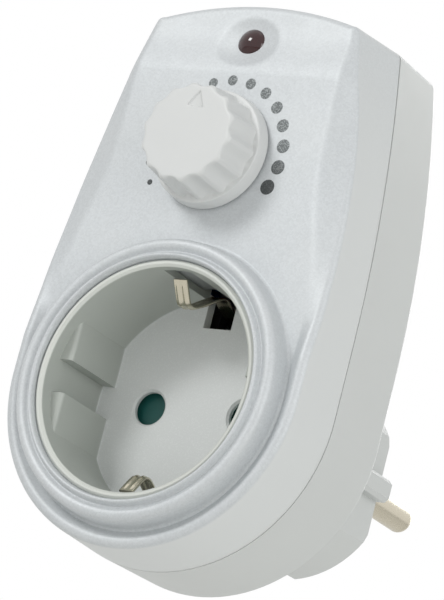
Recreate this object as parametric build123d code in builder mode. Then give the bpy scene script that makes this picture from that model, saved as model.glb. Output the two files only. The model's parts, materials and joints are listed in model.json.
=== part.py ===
from build123d import *
import os
from math import acos, atan2, cos, degrees, hypot, radians, sin, sqrt, tan

os.makedirs("parts", exist_ok=True)

# A plug-in dimmer in millimetres. X runs to the right, Y from the front towards the wall and Z up.
# The origin is the centre of the plug's face, on the common axis of plug and socket.

# Depths of the whole product, along Y
plug_depth = 24.5
rear_depth = 16.4
front_depth = 15.4
panel_drop = 4.2
well_depth = 17.7

# Walls and clearances
wall = 2.0
rear_wall = 2.2
fit_clearance = 0.15
running_clearance = 0.05
gap = 0.3
overrun = 1.0

# Casing outline at the parting line, at the flat back and at the front edge: radius about the socket,
# height where the flank starts to bow, radius of the bow, height of the top and radius of its arch
casing_radius = 28.98
casing_top = 69.8
casing_arch = 64.0
front_arch = 80.0
front_taper = 0.43
rear_taper = 0.5
parting_outline = {
    "radius": casing_radius, "bow_start": 13.3, "bow": 285.0, "top": casing_top, "arch": casing_arch
}
rear_outline = {
    "radius": casing_radius - rear_taper, "bow_start": 13.0, "bow": 213.0, "top": casing_top,
    "arch": casing_arch,
}
front_outline = {
    "radius": casing_radius - front_taper, "bow_start": 8.0, "bow": 166.0,
    "top": casing_top - front_taper, "arch": front_arch,
}
corner_radius = 1.5
edge_rounding = 1.3
rear_rounding = 0.8
front_lead = 1.0

# Face of the cover: how far the panel bends back at the top, how far the flanks fall behind it, and
# where the fold between panel and flank runs
panel_bend = 2.2
flank_drop = 2.7
fold_width = 25.1
flank_reach = 36.0
# Rows up the face: height as a share of the top, fold as a share of the fold width, fall of the casing
# edge behind the panel as a share of the flank drop, and share of the panel's bend
face_shares = (
    (0.0, 1.0, -0.92, 0.0),
    (0.058, 1.002, -0.89, 0.0),
    (0.115, 1.008, -0.8, 0.0),
    (0.2, 1.012, -0.13, 0.0),
    (0.286, 0.996, 0.24, 0.0),
    (0.4, 0.936, 0.63, 0.0),
    (0.487, 0.873, 0.78, 0.0),
    (0.602, 0.833, 0.96, 0.0),
    (0.716, 0.829, 1.0, 0.0),
    (0.81, 0.827, 0.9, 0.0),
    (0.917, 0.805, 0.4, 0.76),
    (1.032, 0.76, 0.12, 1.0),
)

# Collar round the socket, turned: a bead, a groove and a ridge
collar_bore = 21.2
collar_outer = 25.1
sleeve_wall = 1.6
bead_radius = 21.7
bead_lead = 0.9
groove_radius = 22.45
groove_depth = 0.2
ridge_radius = 23.7
ridge_lead = 0.4
shoulder_radius = 24.9
shoulder_depth = 0.5

# Socket insert
insert_floor = 2.0
well_radius = 19.85
lip_rounding = 0.4
insert_flange = 1.2
insert_flange_depth = 2.0
pin_spacing = 19.0
hole_radius = 2.95
hole_chamfer = 0.4
hole_wall = 1.1
hole_relief_radius = 4.3
land_half_gap = 17.2
land_inner_height = 2.9
land_outer_height = 10.3
land_front_depth = 3.2
land_rounding = 0.8
clip_slot_half_width = 2.8
clip_slot_floor_height = 14.9
clip_slot_front_depth = 2.2
clip_pocket_half_width = 3.2
clip_pocket_reach = 2.3

# Knob and its scale
knob_height = 41.8
knob_stand = 5.85
knob_shoulder_depth = 1.05
knob_back_gap = 0.4
knob_face_radius = 8.15
knob_side_radius = 8.95
knob_rim_depth = 0.6
knob_shoulder_radius = 9.6
knob_ledge_radius = 10.05
knob_skirt_radius = 10.38
knob_hollow_radius = 7.6
knob_face_wall = 2.0
knob_hub_radius = 4.6
knob_hub_gap = 0.3
flute_count = 14
flute_radius = 2.2
flute_bite = 0.65
pointer_angle = 5.5
pointer_tip = 7.4
pointer_base = 4.6
pointer_half_width = 1.55
pointer_depth = 0.3
scale_radius = 13.1
scale_count = 15
scale_step = 16.6
scale_turn = -1.3
scale_smallest_radius = 0.5
scale_largest_radius = 1.35
scale_depth = 0.1

# Indicator lens in its dish
lens_height = 62.5
lens_radius = 2.65
lens_panel_bend = 1.4
lens_dome = 1.3
lens_flange = 0.9
lens_flange_depth = 0.8
lens_pad_radius = 5.0
lens_pad_depth = 4.4
dish_radius = 5.5
dish_depth = 0.85
dish_tilt = 13.0
lamp_radius = 1.5

# Case screws
screw_radius = 1.35
screw_length = 20.0
screw_head_radius = 2.4
screw_head_depth = 1.4
screw_recess_depth = 1.6
screw_tower_radius = 2.7
slot_half_width = 0.4
upper_screw_x = 16.5
upper_screw_height = 61.8
lower_screw_inset = 4.96
lower_screw_angle = 48.5
lower_screw_radius = casing_radius - lower_screw_inset
lower_screw_x = lower_screw_radius * cos(radians(lower_screw_angle))
lower_screw_height = -lower_screw_radius * sin(radians(lower_screw_angle))

# Plug body
plug_root_radius = 18.4
plug_face_radius = 17.8
plug_flat = 15.0
plug_wall = 2.0
plug_end_wall = 2.0
plug_chamfer = 0.8
plug_cavity_radius = 15.6
plug_cavity_height = 13.5
guide_rib_reach = 17.4
guide_rib_half_width = 2.0
guide_rib_chamfer = 0.7

# Plug pins and their retainer
pin_radius = 2.4
pin_length = 19.0
pin_tip_rounding = 1.5
pin_seat_radius = 2.7
pin_collar_radius = 3.4
pin_collar_depth = 2.0
pin_tail = 4.3
retainer_thickness = 2.1
retainer_half_height = 8.0
retainer_post_radius = 2.2
retainer_screw_radius = 0.95
retainer_screw_height = 6.0
retainer_screw_length = 4.8
retainer_head_radius = 1.8
retainer_head_depth = 1.0

# Contact carrier behind the socket floor
carrier_radius = 20.4
carrier_rim = 1.2
carrier_plate = 2.4
carrier_leg_radius = 2.0
carrier_leg_x = 17.0
carrier_leg_height = 6.3
carrier_hole_radius = 3.1
sleeve_inner_radius = 2.45
sleeve_outer_radius = 3.1
sleeve_length = 13.5
sleeve_end = 1.0
sleeve_boss_radius = 4.6
sleeve_boss_gap = 0.2
strap_half_width = 2.4
strap_thickness = 0.8

# Safety shutter
shutter_space = 2.4
shutter_thickness = 1.8
shutter_radius = 13.4
shutter_turn = 38.0
shutter_window_radius = 3.1
shutter_post_radius = 1.5
shutter_spring_inner = 1.9
shutter_spring_outer = 2.9
shutter_pocket_radius = 3.3
shutter_spring_length = 1.3
shutter_pocket_depth = 1.6

# Earthing: strip on the plug, bridge between both, and the sprung leaves of the socket
strip_half_width = 2.8
strip_inner_height = 16.0
strip_thickness = 0.8
strip_end_gap = 0.7
strip_front_gap = 0.6
strip_cover_depth = 1.2
recess_clearance = 0.4
bridge_depth = 2.1
leaf_half_width = 1.4
leaf_thickness = 0.5
leaf_hinge_gap = 0.2
leaf_bend_radius = 2.4
leaf_tip_depth = 3.5
leaf_tip_height = 18.75
leaf_touch_depth = 6.85
leaf_touch_height = 14.5
leaf_shoulder_depth = 16.3
leaf_shoulder_height = 20.1

# Circuit board and its parts
board_depth = 14.6
board_thickness = 1.6
board_half_width = 16.0
board_bottom = 23.5
board_top = 57.5
board_tongue_half_width = 4.0
board_tongue_top = 66.5
board_post_radius = 2.4
board_post_x = 13.0
board_post_low = 26.6
board_post_high = 54.4
board_screw_radius = 1.1
board_screw_head_radius = 2.0
board_screw_head_depth = 1.2
board_screw_length = 6.0
board_rounding = 0.5

# Parts on the board: each stands on the board's back, at an x and a height
choke_x = -8.5
choke_low = 28.0
choke_core_radius = 3.0
choke_core_length = 16.0
choke_winding_radius = 6.4
choke_winding_length = 13.0
suppressor_x = 4.8
suppressor_height = 35.5
suppressor_width = 6.5
suppressor_length = 13.0
suppressor_depth = 11.0
timer_x = 4.3
timer_height = 47.2
timer_width = 2.5
timer_length = 5.4
timer_depth = 6.0
triac_x = -4.5
triac_gap = 1.0
triac_width = 10.0
triac_length = 9.0
triac_depth = 4.4
heat_sink_width = 12.0
heat_sink_length = 11.0
heat_sink_plate = 1.5
heat_sink_fin = 1.5
heat_sink_depth = 7.0
triac_screw_x = -7.1
triac_screw_radius = 1.4
triac_screw_head_radius = 1.7
triac_screw_head_depth = 1.6
triac_screw_grip = 2.0
diac_x = 7.6
diac_low = 44.5
diac_length = 4.0
diac_radius = 1.0
resistor_x = 6.1
resistor_heights = (52.3, 55.4)
resistor_length = 6.2
resistor_radius = 1.2
fuse_x = 12.3
fuse_low = 30.0
fuse_length = 20.0
fuse_radius = 2.6
fuse_clip_length = 5.5
fuse_clip_wall = 0.6
fuse_stand = 0.9

# Wires: radius, bend and the lane along which they run behind the contact carrier
wire_radius = 0.9
wire_bend = 2.2
wire_lane_gap = 2.4
wire_landing_height = 26.0
wire_rise = 7.5
wire_lane_rise = 9.5
live_wire_x = 8.5
load_wire_x = 4.6
neutral_wire_x = -8.5
wire_lead = 5.0
wire_sweep = 4.0

# Potentiometer
shaft_radius = 3.0
shaft_flat = 2.2
shaft_reach = 2.5
bush_radius = 4.0
bush_reach = 2.3
pot_radius = 8.2
pot_depth = 6.1
pot_wall = 0.8
pot_boss_radius = 6.5
nut_half_flats = 5.0
nut_thickness = 2.0
rotor_radius = 6.0
rotor_thickness = 1.2
rotor_stop_radius = 6.9
rotor_stop_half_angle = 14.0
housing_stop_half_angle = 30.0
wiper_thickness = 0.6
track_radius = 7.2
track_thickness = 0.5
contact_gap = 0.2

# Depth stations
rear_y = -plug_depth
parting_y = rear_y - rear_depth
lip_y = parting_y - front_depth
panel_y = lip_y + panel_drop
panel_back_y = panel_y + wall
cover_front_y = lip_y + front_lead
floor_y = lip_y + well_depth
floor_back_y = floor_y + insert_floor
rear_inner_y = rear_y - rear_wall
carrier_y = floor_back_y + shutter_space
carrier_back_y = carrier_y + carrier_plate
sleeve_back_y = carrier_back_y + sleeve_length
plug_inner_y = -plug_end_wall
pin_collar_y = plug_inner_y - pin_collar_depth
retainer_y = pin_collar_y - retainer_thickness
pin_tail_y = plug_inner_y - pin_tail
board_y = lip_y + board_depth
board_back_y = board_y + board_thickness
pot_y = board_y - pot_depth
knob_face_y = lip_y - knob_stand
knob_shoulder_y = lip_y + knob_shoulder_depth
knob_back_y = panel_y - knob_back_gap
lens_panel_y = panel_y + lens_panel_bend
lens_y = lens_panel_y + dish_depth
lens_pad_y = panel_y + lens_pad_depth
dish_ball = (dish_radius**2 + dish_depth**2) / (2 * dish_depth)
dish_lift = dish_ball - dish_depth
dish_centre = (
    0,
    lens_panel_y - dish_lift * cos(radians(dish_tilt)),
    lens_height + dish_lift * sin(radians(dish_tilt)),
)
nut_y = panel_y - nut_thickness
knob_hub_y = nut_y - knob_hub_gap
shaft_front_y = lip_y - shaft_reach
track_y = board_y - pot_wall - track_thickness
wiper_y = track_y - contact_gap - wiper_thickness
rotor_y = wiper_y - rotor_thickness
screw_seat_y = rear_y - screw_recess_depth
screw_tip_y = screw_seat_y - screw_length
board_screw_tip_y = board_back_y - board_screw_length
retainer_screw_tip_y = retainer_y + retainer_screw_length
strip_front_y = carrier_back_y + strip_front_gap
strip_end_y = -strip_end_gap
strip_outer_height = strip_inner_height + strip_thickness
bridge_y = carrier_back_y + bridge_depth
shutter_y = floor_back_y + (shutter_space - shutter_thickness) / 2
spring_back_y = carrier_y + shutter_pocket_depth
triac_back_y = board_back_y + triac_depth
fuse_y = board_back_y + fuse_stand + fuse_radius
wire_lane_y = rear_inner_y - wire_lane_gap
pin_x = pin_spacing / 2
sleeve_outer = collar_bore + sleeve_wall
insert_radius = collar_bore - fit_clearance

pieces = {}


def at_depth(y):
    """Plane that faces the front at a depth along Y, with X to the right and Z up."""
    return Plane.XZ.offset(-y)


def bar(front, back, radius, places, mode=Mode.ADD):
    """Round bars along Y between two depths, one at each place (x, z)."""
    with BuildSketch(at_depth(back)) as section:
        with Locations(*places):
            Circle(radius)
    extrude(section.sketch, amount=back - front, mode=mode)


def block(x_range, y_range, z_range, mode=Mode.ADD):
    """Rectangular block between two values along each axis."""
    x_low, x_high = x_range
    y_low, y_high = y_range
    z_low, z_high = z_range
    with BuildSketch(at_depth(y_high)) as section:
        with Locations(((x_low + x_high) / 2, (z_low + z_high) / 2)):
            Rectangle(x_high - x_low, z_high - z_low)
    extrude(section.sketch, amount=y_high - y_low, mode=mode)


def turned(points, height=0, arc=360, mode=Mode.ADD):
    """Solid turned about a line along Y at a height, from (radius, depth) points."""
    with BuildSketch(Plane.XY.offset(height)) as profile:
        with BuildLine():
            Polyline(*points, close=True)
        make_face()
    revolve(profile.sketch, Axis((0, 0, height), (0, 1, 0)), revolution_arc=arc, mode=mode)


def outline(y, radius, bow_start, bow, top, arch, inset=0):
    """Casing outline at one depth: round below, bowed flanks and an arched top."""
    flank = bow - inset
    crown = arch - inset
    flank_x = radius - bow
    crown_z = top - arch
    # The flank ends where it meets the crown, at one corner of the triangle of both centres.
    span = hypot(flank_x, bow_start - crown_z)
    opening = acos((flank**2 + span**2 - crown**2) / (2 * flank * span))
    flank_arc = degrees(atan2(crown_z - bow_start, -flank_x) + opening)
    corner_x = flank_x + flank * cos(radians(flank_arc))
    corner_z = bow_start + flank * sin(radians(flank_arc))
    crown_start = degrees(atan2(corner_z - crown_z, corner_x))
    side_x = radius - inset
    with BuildSketch(at_depth(y)) as section:
        with BuildLine():
            CenterArc((0, 0), side_x, 180, 180)
            Line((side_x, 0), (side_x, bow_start))
            CenterArc((flank_x, bow_start), flank, 0, flank_arc)
            CenterArc((0, crown_z), crown, crown_start, 180 - 2 * crown_start)
            CenterArc((-flank_x, bow_start), flank, 180 - flank_arc, flank_arc)
            Line((-side_x, bow_start), (-side_x, 0))
        make_face()
        fillet(section.vertices().sort_by(Axis.Y)[-2:], max(corner_radius - inset, fit_clearance))
    return section.sketch


def flank_width(shape, height):
    """Half width of a casing outline at a height above the socket's axis."""
    rise = max(height - shape["bow_start"], 0)
    return shape["radius"] - shape["bow"] + sqrt(shape["bow"] ** 2 - rise**2)


def face_edge(height_share, fold_share, fall_share, bend_share):
    """Right half of the face at one height: fold, start, middle and end of the edge rounding."""
    height = height_share * parting_outline["top"]
    panel = panel_y + bend_share * panel_bend
    fall = fall_share * flank_drop
    fold = Vector(fold_share * fold_width, panel)
    front_width = flank_width(front_outline, height)
    lean = (flank_width(parting_outline, height) - front_width) / (parting_y - cover_front_y)
    corner = Vector(front_width + lean * (panel + fall - cover_front_y), panel + fall)
    facet = (corner - fold).normalized()
    side = Vector(lean, 1).normalized()
    half_turn = radians(facet.get_angle(side) / 2)
    run = min(edge_rounding * tan(half_turn), (corner - fold).length / 2)
    bisector = (side - facet).normalized()
    middle = corner + bisector * run * tan(half_turn / 2)
    return height, fold, corner - facet * run, middle, corner + side * run


def rod(plane, length, radius, places, mode=Mode.ADD):
    """Round rods square to a plane, one at each place on it."""
    with BuildSketch(plane) as section:
        with Locations(*places):
            Circle(radius)
    extrude(section.sketch, amount=length, mode=mode)


def sector(y, thickness, inner, outer, middle, half, mode=Mode.ADD):
    """Part of a ring about the knob's axis; the angles run clockwise from the top."""
    start = 90 - middle - half
    with BuildSketch(Plane(origin=(0, y, knob_height), x_dir=(1, 0, 0), z_dir=(0, -1, 0))) as section:
        with BuildLine():
            far = CenterArc((0, 0), outer, start, 2 * half)
            near = CenterArc((0, 0), inner, start, 2 * half)
            Line(far @ 0, near @ 0)
            Line(far @ 1, near @ 1)
        make_face()
    extrude(section.sketch, amount=thickness, mode=mode)


def knob_plane(y):
    """Plane across the knob's axis whose own Y points along the pointer."""
    turn = radians(pointer_angle)
    return Plane(origin=(0, y, knob_height), x_dir=(cos(turn), 0, -sin(turn)), z_dir=(0, -1, 0))


def relief_section(row):
    """Area in front of the cover's face at one height."""
    height, fold, start, middle, end = face_edge(*row)
    mirror = [Vector(-point.X, point.Y) for point in (fold, start, middle, end)]
    with BuildSketch(Plane.XY.offset(height)) as section:
        with BuildLine():
            Polyline(
                mirror[3], (-flank_reach, end.Y), (-flank_reach, relief_front_y),
                (flank_reach, relief_front_y), (flank_reach, end.Y), end,
            )
            ThreePointArc(end, middle, start)
            Polyline(start, fold, mirror[0], mirror[1])
            ThreePointArc(mirror[1], mirror[2], mirror[3])
        make_face()
    return section.sketch


# Space in front of the cover: lofted above the socket's axis and turned below it
relief_front_y = lip_y - well_depth
with BuildPart() as face_relief:
    loft([relief_section(row) for row in face_shares], ruled=True)

with BuildPart() as rim_relief:
    rim_height, rim_fold, rim_start, rim_middle, rim_end = face_edge(*face_shares[0])
    with BuildSketch():
        with BuildLine():
            Polyline(
                (0, rim_fold.Y), (0, relief_front_y), (flank_reach, relief_front_y),
                (flank_reach, rim_end.Y), rim_end,
            )
            ThreePointArc(rim_end, rim_middle, rim_start)
            Polyline(rim_start, rim_fold, (0, rim_fold.Y))
        make_face()
    revolve(axis=Axis.Y, revolution_arc=180)

with BuildPart() as cover_space:
    loft(
        [
            outline(cover_front_y, **front_outline, inset=wall),
            outline(parting_y, **parting_outline, inset=wall),
        ],
        ruled=True,
    )
    add(face_relief.part.moved(Location((0, wall, 0))), mode=Mode.SUBTRACT)
    add(rim_relief.part.moved(Location((0, wall, 0))), mode=Mode.SUBTRACT)

upper_screws = [(-upper_screw_x, upper_screw_height), (upper_screw_x, upper_screw_height)]
lower_screws = [(-lower_screw_x, lower_screw_height), (lower_screw_x, lower_screw_height)]
screw_places = upper_screws + lower_screws
board_posts = [(x, z) for x in (-board_post_x, board_post_x) for z in (board_post_low, board_post_high)]
pin_places = [(-pin_x, 0), (pin_x, 0)]
knob_place = [(0, knob_height)]
lens_place = [(0, lens_height)]
centre = [(0, 0)]
retainer_screw_places = [(0, -retainer_screw_height), (0, retainer_screw_height)]
leg_heights = (-carrier_leg_height, carrier_leg_height)
leg_places = [(x, z) for x in (-carrier_leg_x, carrier_leg_x) for z in leg_heights]


# Front cover: panel, collar and bosses in one moulding
with BuildPart() as front_cover:
    loft([outline(cover_front_y, **front_outline), outline(parting_y, **parting_outline)], ruled=True)
    add(face_relief.part, mode=Mode.SUBTRACT)
    add(rim_relief.part, mode=Mode.SUBTRACT)
    add(cover_space.part, mode=Mode.SUBTRACT)
    # Collar with its beads, and the sleeve that holds the insert
    turned(
        [
            (collar_bore, lip_y),
            (bead_radius, lip_y - bead_lead),
            (groove_radius, lip_y + groove_depth),
            (ridge_radius, lip_y - ridge_lead),
            (shoulder_radius, lip_y + shoulder_depth),
            (collar_outer, panel_y + overrun),
            (sleeve_outer, panel_back_y),
            (sleeve_outer, parting_y),
            (collar_bore, parting_y),
        ]
    )
    # Bosses inside: screw bosses, board posts, seat of the potentiometer and pad of the lens
    bar(panel_back_y, parting_y, screw_tower_radius, screw_places)
    bar(panel_y + overrun, board_y, board_post_radius, board_posts)
    bar(panel_y + overrun, pot_y, pot_boss_radius, knob_place)
    bar(panel_back_y, lens_pad_y, lens_pad_radius, lens_place)
    # Bores and screw holes
    bar(relief_front_y, parting_y, collar_bore, centre, mode=Mode.SUBTRACT)
    bar(relief_front_y, pot_y, bush_radius + fit_clearance, knob_place, mode=Mode.SUBTRACT)
    bar(relief_front_y, lens_pad_y, lens_radius + running_clearance, lens_place, mode=Mode.SUBTRACT)
    bar(screw_tip_y - gap, parting_y, screw_radius + running_clearance, screw_places, mode=Mode.SUBTRACT)
    post_bore = board_screw_radius + running_clearance
    bar(board_screw_tip_y - gap, board_y, post_bore, board_posts, mode=Mode.SUBTRACT)
    # Pockets behind the earth clips, the dish of the lens and the dots of the scale
    for side in (-1, 1):
        block(
            (-clip_pocket_half_width, clip_pocket_half_width),
            (lip_y + clip_slot_front_depth, parting_y),
            sorted((side * clip_slot_floor_height, side * (collar_bore + clip_pocket_reach))),
            mode=Mode.SUBTRACT,
        )
    with Locations(dish_centre):
        Sphere(dish_ball, mode=Mode.SUBTRACT)
    for count in range(scale_count):
        growth = count / (scale_count - 1)
        turn = radians(scale_turn + (count - (scale_count - 1) / 2) * scale_step)
        dot = (scale_radius * sin(turn), knob_height + scale_radius * cos(turn))
        dot_radius = scale_smallest_radius + (scale_largest_radius - scale_smallest_radius) * growth
        bar(panel_y - overrun, panel_y + scale_depth, dot_radius, [dot], mode=Mode.SUBTRACT)

pieces["front_cover"] = front_cover


# Rear shell: casing back, screw towers and the plug body in one moulding
with BuildPart() as rear_shell:
    loft([outline(parting_y, **parting_outline), outline(rear_y, **rear_outline)], ruled=True)
    fillet(rear_shell.faces().sort_by(Axis.Y)[-1].edges(), rear_rounding)
    loft(
        [
            outline(parting_y, **parting_outline, inset=wall),
            outline(rear_inner_y, **rear_outline, inset=wall),
        ],
        ruled=True,
        mode=Mode.SUBTRACT,
    )
    bar(parting_y, rear_inner_y, screw_tower_radius, screw_places)
    # Plug body: tapered round, flat at both sides, with a guide rib on each flat
    turned(
        [
            (0, rear_inner_y),
            (plug_root_radius, rear_inner_y),
            (plug_root_radius, rear_y),
            (plug_face_radius, -plug_chamfer),
            (plug_face_radius - plug_chamfer, 0),
            (0, 0),
        ]
    )
    for side in (-1, 1):
        block(
            sorted((side * plug_flat, side * (plug_root_radius + overrun))),
            (rear_y, overrun),
            (-plug_cavity_height, plug_cavity_height),
            mode=Mode.SUBTRACT,
        )
    with BuildSketch(at_depth(0)) as rib_section:
        Rectangle(2 * guide_rib_reach, 2 * guide_rib_half_width)
        chamfer(rib_section.vertices(), guide_rib_chamfer)
    extrude(amount=plug_depth)
    # Room inside the plug, open to the casing
    with BuildSketch(at_depth(plug_inner_y)):
        Circle(plug_cavity_radius)
        Rectangle(2 * (plug_flat - plug_wall), 2 * plug_cavity_height, mode=Mode.INTERSECT)
    extrude(amount=plug_inner_y - rear_inner_y + overrun, mode=Mode.SUBTRACT)
    bar(pin_collar_y, plug_inner_y, retainer_post_radius, retainer_screw_places)
    bar(pin_collar_y, retainer_screw_tip_y + fit_clearance, retainer_screw_radius + running_clearance,
        retainer_screw_places, mode=Mode.SUBTRACT)
    bar(plug_inner_y, overrun, pin_seat_radius + running_clearance, pin_places, mode=Mode.SUBTRACT)
    bar(parting_y, rear_y, screw_radius + fit_clearance, screw_places, mode=Mode.SUBTRACT)
    bar(screw_seat_y, rear_y + overrun, screw_head_radius + fit_clearance, screw_places, mode=Mode.SUBTRACT)
    # Slot for each earth strip through the wall, and its open groove along the plug
    for side in (-1, 1):
        slot_x = strip_half_width + fit_clearance
        groove_x = strip_half_width + recess_clearance
        slot_low = side * (strip_inner_height - running_clearance)
        block(
            (-slot_x, slot_x),
            (rear_inner_y - overrun, overrun),
            sorted((slot_low, side * (strip_outer_height + fit_clearance))),
            mode=Mode.SUBTRACT,
        )
        block(
            (-groove_x, groove_x),
            (rear_y + strip_cover_depth, overrun),
            sorted((slot_low, side * (plug_root_radius + overrun))),
            mode=Mode.SUBTRACT,
        )

pieces["rear_shell"] = rear_shell

with BuildPart() as case_screws:
    bar(screw_seat_y, screw_seat_y + screw_head_depth, screw_head_radius, screw_places)
    bar(screw_tip_y, screw_seat_y, screw_radius, screw_places)
    cross = screw_head_radius / 2
    for x, z in screw_places:
        for x_half, z_half in ((cross, slot_half_width), (slot_half_width, cross)):
            block(
                (x - x_half, x + x_half),
                (screw_seat_y + screw_head_depth / 2, rear_y),
                (z - z_half, z + z_half),
                mode=Mode.SUBTRACT,
            )

pieces["case_screws"] = case_screws


# Socket insert: the cup, its floor, the guide lands and the slots for the earth clips
with BuildPart() as socket_insert:
    turned(
        [
            (0, floor_y),
            (well_radius, floor_y),
            (well_radius, lip_y + lip_rounding),
            (well_radius + lip_rounding, lip_y),
            (insert_radius - lip_rounding, lip_y),
            (insert_radius, lip_y + lip_rounding),
            (insert_radius, parting_y),
            (insert_radius + insert_flange, parting_y),
            (insert_radius + insert_flange, parting_y + insert_flange_depth),
            (insert_radius, parting_y + insert_flange_depth),
            (insert_radius, floor_back_y),
            (0, floor_back_y),
        ]
    )
    bar(parting_y, floor_back_y, screw_tower_radius + gap, lower_screws, mode=Mode.SUBTRACT)
    with BuildSketch(at_depth(floor_y + overrun)):
        land_height = (land_inner_height + land_outer_height) / 2
        land_reach = insert_radius - land_half_gap
        land_x = land_half_gap + land_reach / 2
        with GridLocations(2 * land_x, 2 * land_height, 2, 2):
            Rectangle(land_reach, land_outer_height - land_inner_height)
        Circle(well_radius + lip_rounding, mode=Mode.INTERSECT)
    extrude(amount=floor_y + overrun - lip_y - land_front_depth)
    land_edges = socket_insert.edges().filter_by(Axis.Z).group_by(Axis.Y)[0]
    fillet(land_edges, land_rounding)
    bar(floor_y - overrun, floor_back_y, hole_radius, pin_places, mode=Mode.SUBTRACT)
    circles = socket_insert.edges().filter_by(GeomType.CIRCLE)
    middle_rims = circles.filter_by(lambda rim: abs(rim.arc_center.Z) < hole_chamfer)
    hole_rims = middle_rims.filter_by(lambda rim: abs(rim.radius - hole_radius) < hole_chamfer)
    chamfer(hole_rims.group_by(Axis.Y)[0], hole_chamfer)
    bar(floor_y + hole_wall, floor_back_y, hole_relief_radius, pin_places, mode=Mode.SUBTRACT)
    for side in (-1, 1):
        block(
            (-clip_slot_half_width, clip_slot_half_width),
            (lip_y + clip_slot_front_depth, floor_back_y),
            sorted((side * clip_slot_floor_height, side * (insert_radius + insert_flange + overrun))),
            mode=Mode.SUBTRACT,
        )

pieces["socket_insert"] = socket_insert


# Contact carrier: plate behind the socket floor, on four legs that stand on the casing's back
with BuildPart() as contact_carrier:
    bar(carrier_y, carrier_back_y, carrier_radius, centre)
    turned(
        [
            (carrier_radius - carrier_rim, floor_back_y),
            (carrier_radius, floor_back_y),
            (carrier_radius, carrier_y),
            (carrier_radius - carrier_rim, carrier_y),
        ]
    )
    turned(
        [
            (shutter_post_radius, carrier_y),
            (shutter_pocket_radius, carrier_y),
            (shutter_pocket_radius, spring_back_y),
            (shutter_post_radius, spring_back_y),
        ],
        mode=Mode.SUBTRACT,
    )
    bar(floor_back_y, carrier_y, shutter_post_radius, centre)
    bar(carrier_back_y, rear_inner_y, carrier_leg_radius, leg_places)
    bar(carrier_back_y, rear_inner_y - sleeve_boss_gap, sleeve_boss_radius, pin_places)
    bar(carrier_y, carrier_back_y, carrier_hole_radius, pin_places, mode=Mode.SUBTRACT)
    bar(carrier_back_y, rear_inner_y, sleeve_outer_radius + running_clearance, pin_places, mode=Mode.SUBTRACT)
    for side in (-1, 1):
        block(
            (-clip_slot_half_width, clip_slot_half_width),
            (floor_back_y, carrier_back_y),
            sorted((side * clip_slot_floor_height, side * (carrier_radius + overrun))),
            mode=Mode.SUBTRACT,
        )

pieces["contact_carrier"] = contact_carrier

# Shutter: turns about the carrier's post and closes both contact holes at rest
with BuildPart() as shutter:
    window = (pin_x * cos(radians(shutter_turn)), pin_x * sin(radians(shutter_turn)))
    shutter_back_y = shutter_y + shutter_thickness
    bar(shutter_y, shutter_back_y, shutter_radius, centre)
    bar(shutter_y, shutter_back_y, shutter_post_radius + running_clearance, centre, mode=Mode.SUBTRACT)
    windows = [window, (-window[0], -window[1])]
    bar(shutter_y, shutter_back_y, shutter_window_radius, windows, mode=Mode.SUBTRACT)

pieces["shutter"] = shutter

with BuildPart() as shutter_spring:
    turned(
        [
            (shutter_spring_inner, spring_back_y - shutter_spring_length),
            (shutter_spring_outer, spring_back_y - shutter_spring_length),
            (shutter_spring_outer, spring_back_y),
            (shutter_spring_inner, spring_back_y),
        ]
    )

pieces["shutter_spring"] = shutter_spring


def contact_sleeve(x):
    """Sleeve that grips a pin, closed by a disc at its back; it belongs to the open part block."""
    bar(carrier_back_y, sleeve_back_y, sleeve_outer_radius, [(x, 0)])
    bar(carrier_back_y, sleeve_back_y - sleeve_end, sleeve_inner_radius, [(x, 0)], mode=Mode.SUBTRACT)


with BuildPart() as neutral_contact:
    contact_sleeve(-pin_x)
    block(
        (-pin_x - strap_half_width, -pin_x + strap_half_width),
        (sleeve_back_y, pin_tail_y),
        (-strap_thickness / 2, strap_thickness / 2),
    )

pieces["neutral_contact"] = neutral_contact

with BuildPart() as load_contact:
    contact_sleeve(pin_x)

pieces["load_contact"] = load_contact


def plug_pin(x):
    """One round plug pin with its collar and a rounded tip."""
    with BuildPart() as pin:
        bar(pin_tail_y, pin_length, pin_radius, [(x, 0)])
        fillet(pin.edges().group_by(Axis.Y)[-1], pin_tip_rounding)
        bar(pin_collar_y, plug_inner_y, pin_collar_radius, [(x, 0)])
        bar(plug_inner_y, 0, pin_seat_radius, [(x, 0)])
    return pin


pieces["left_pin"] = plug_pin(-pin_x)
pieces["right_pin"] = plug_pin(pin_x)

with BuildPart() as pin_retainer:
    with BuildSketch(at_depth(pin_collar_y)):
        Circle(plug_cavity_radius - gap)
        Rectangle(2 * (plug_flat - plug_wall - gap), 2 * retainer_half_height, mode=Mode.INTERSECT)
        with Locations(*pin_places):
            Circle(pin_radius + running_clearance, mode=Mode.SUBTRACT)
        with Locations(*retainer_screw_places):
            Circle(retainer_screw_radius + running_clearance, mode=Mode.SUBTRACT)
    extrude(amount=retainer_thickness)

pieces["pin_retainer"] = pin_retainer

with BuildPart() as retainer_screws:
    bar(retainer_y - retainer_head_depth, retainer_y, retainer_head_radius, retainer_screw_places)
    bar(retainer_y, retainer_screw_tip_y, retainer_screw_radius, retainer_screw_places)

pieces["retainer_screws"] = retainer_screws


def earth_strip(side):
    """Earth strip that lies in the groove of the plug, above (1) or below (-1)."""
    with BuildPart() as strip:
        block(
            (-strip_half_width, strip_half_width),
            (strip_front_y, strip_end_y),
            sorted((side * strip_inner_height, side * strip_outer_height)),
        )
    return strip


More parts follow.
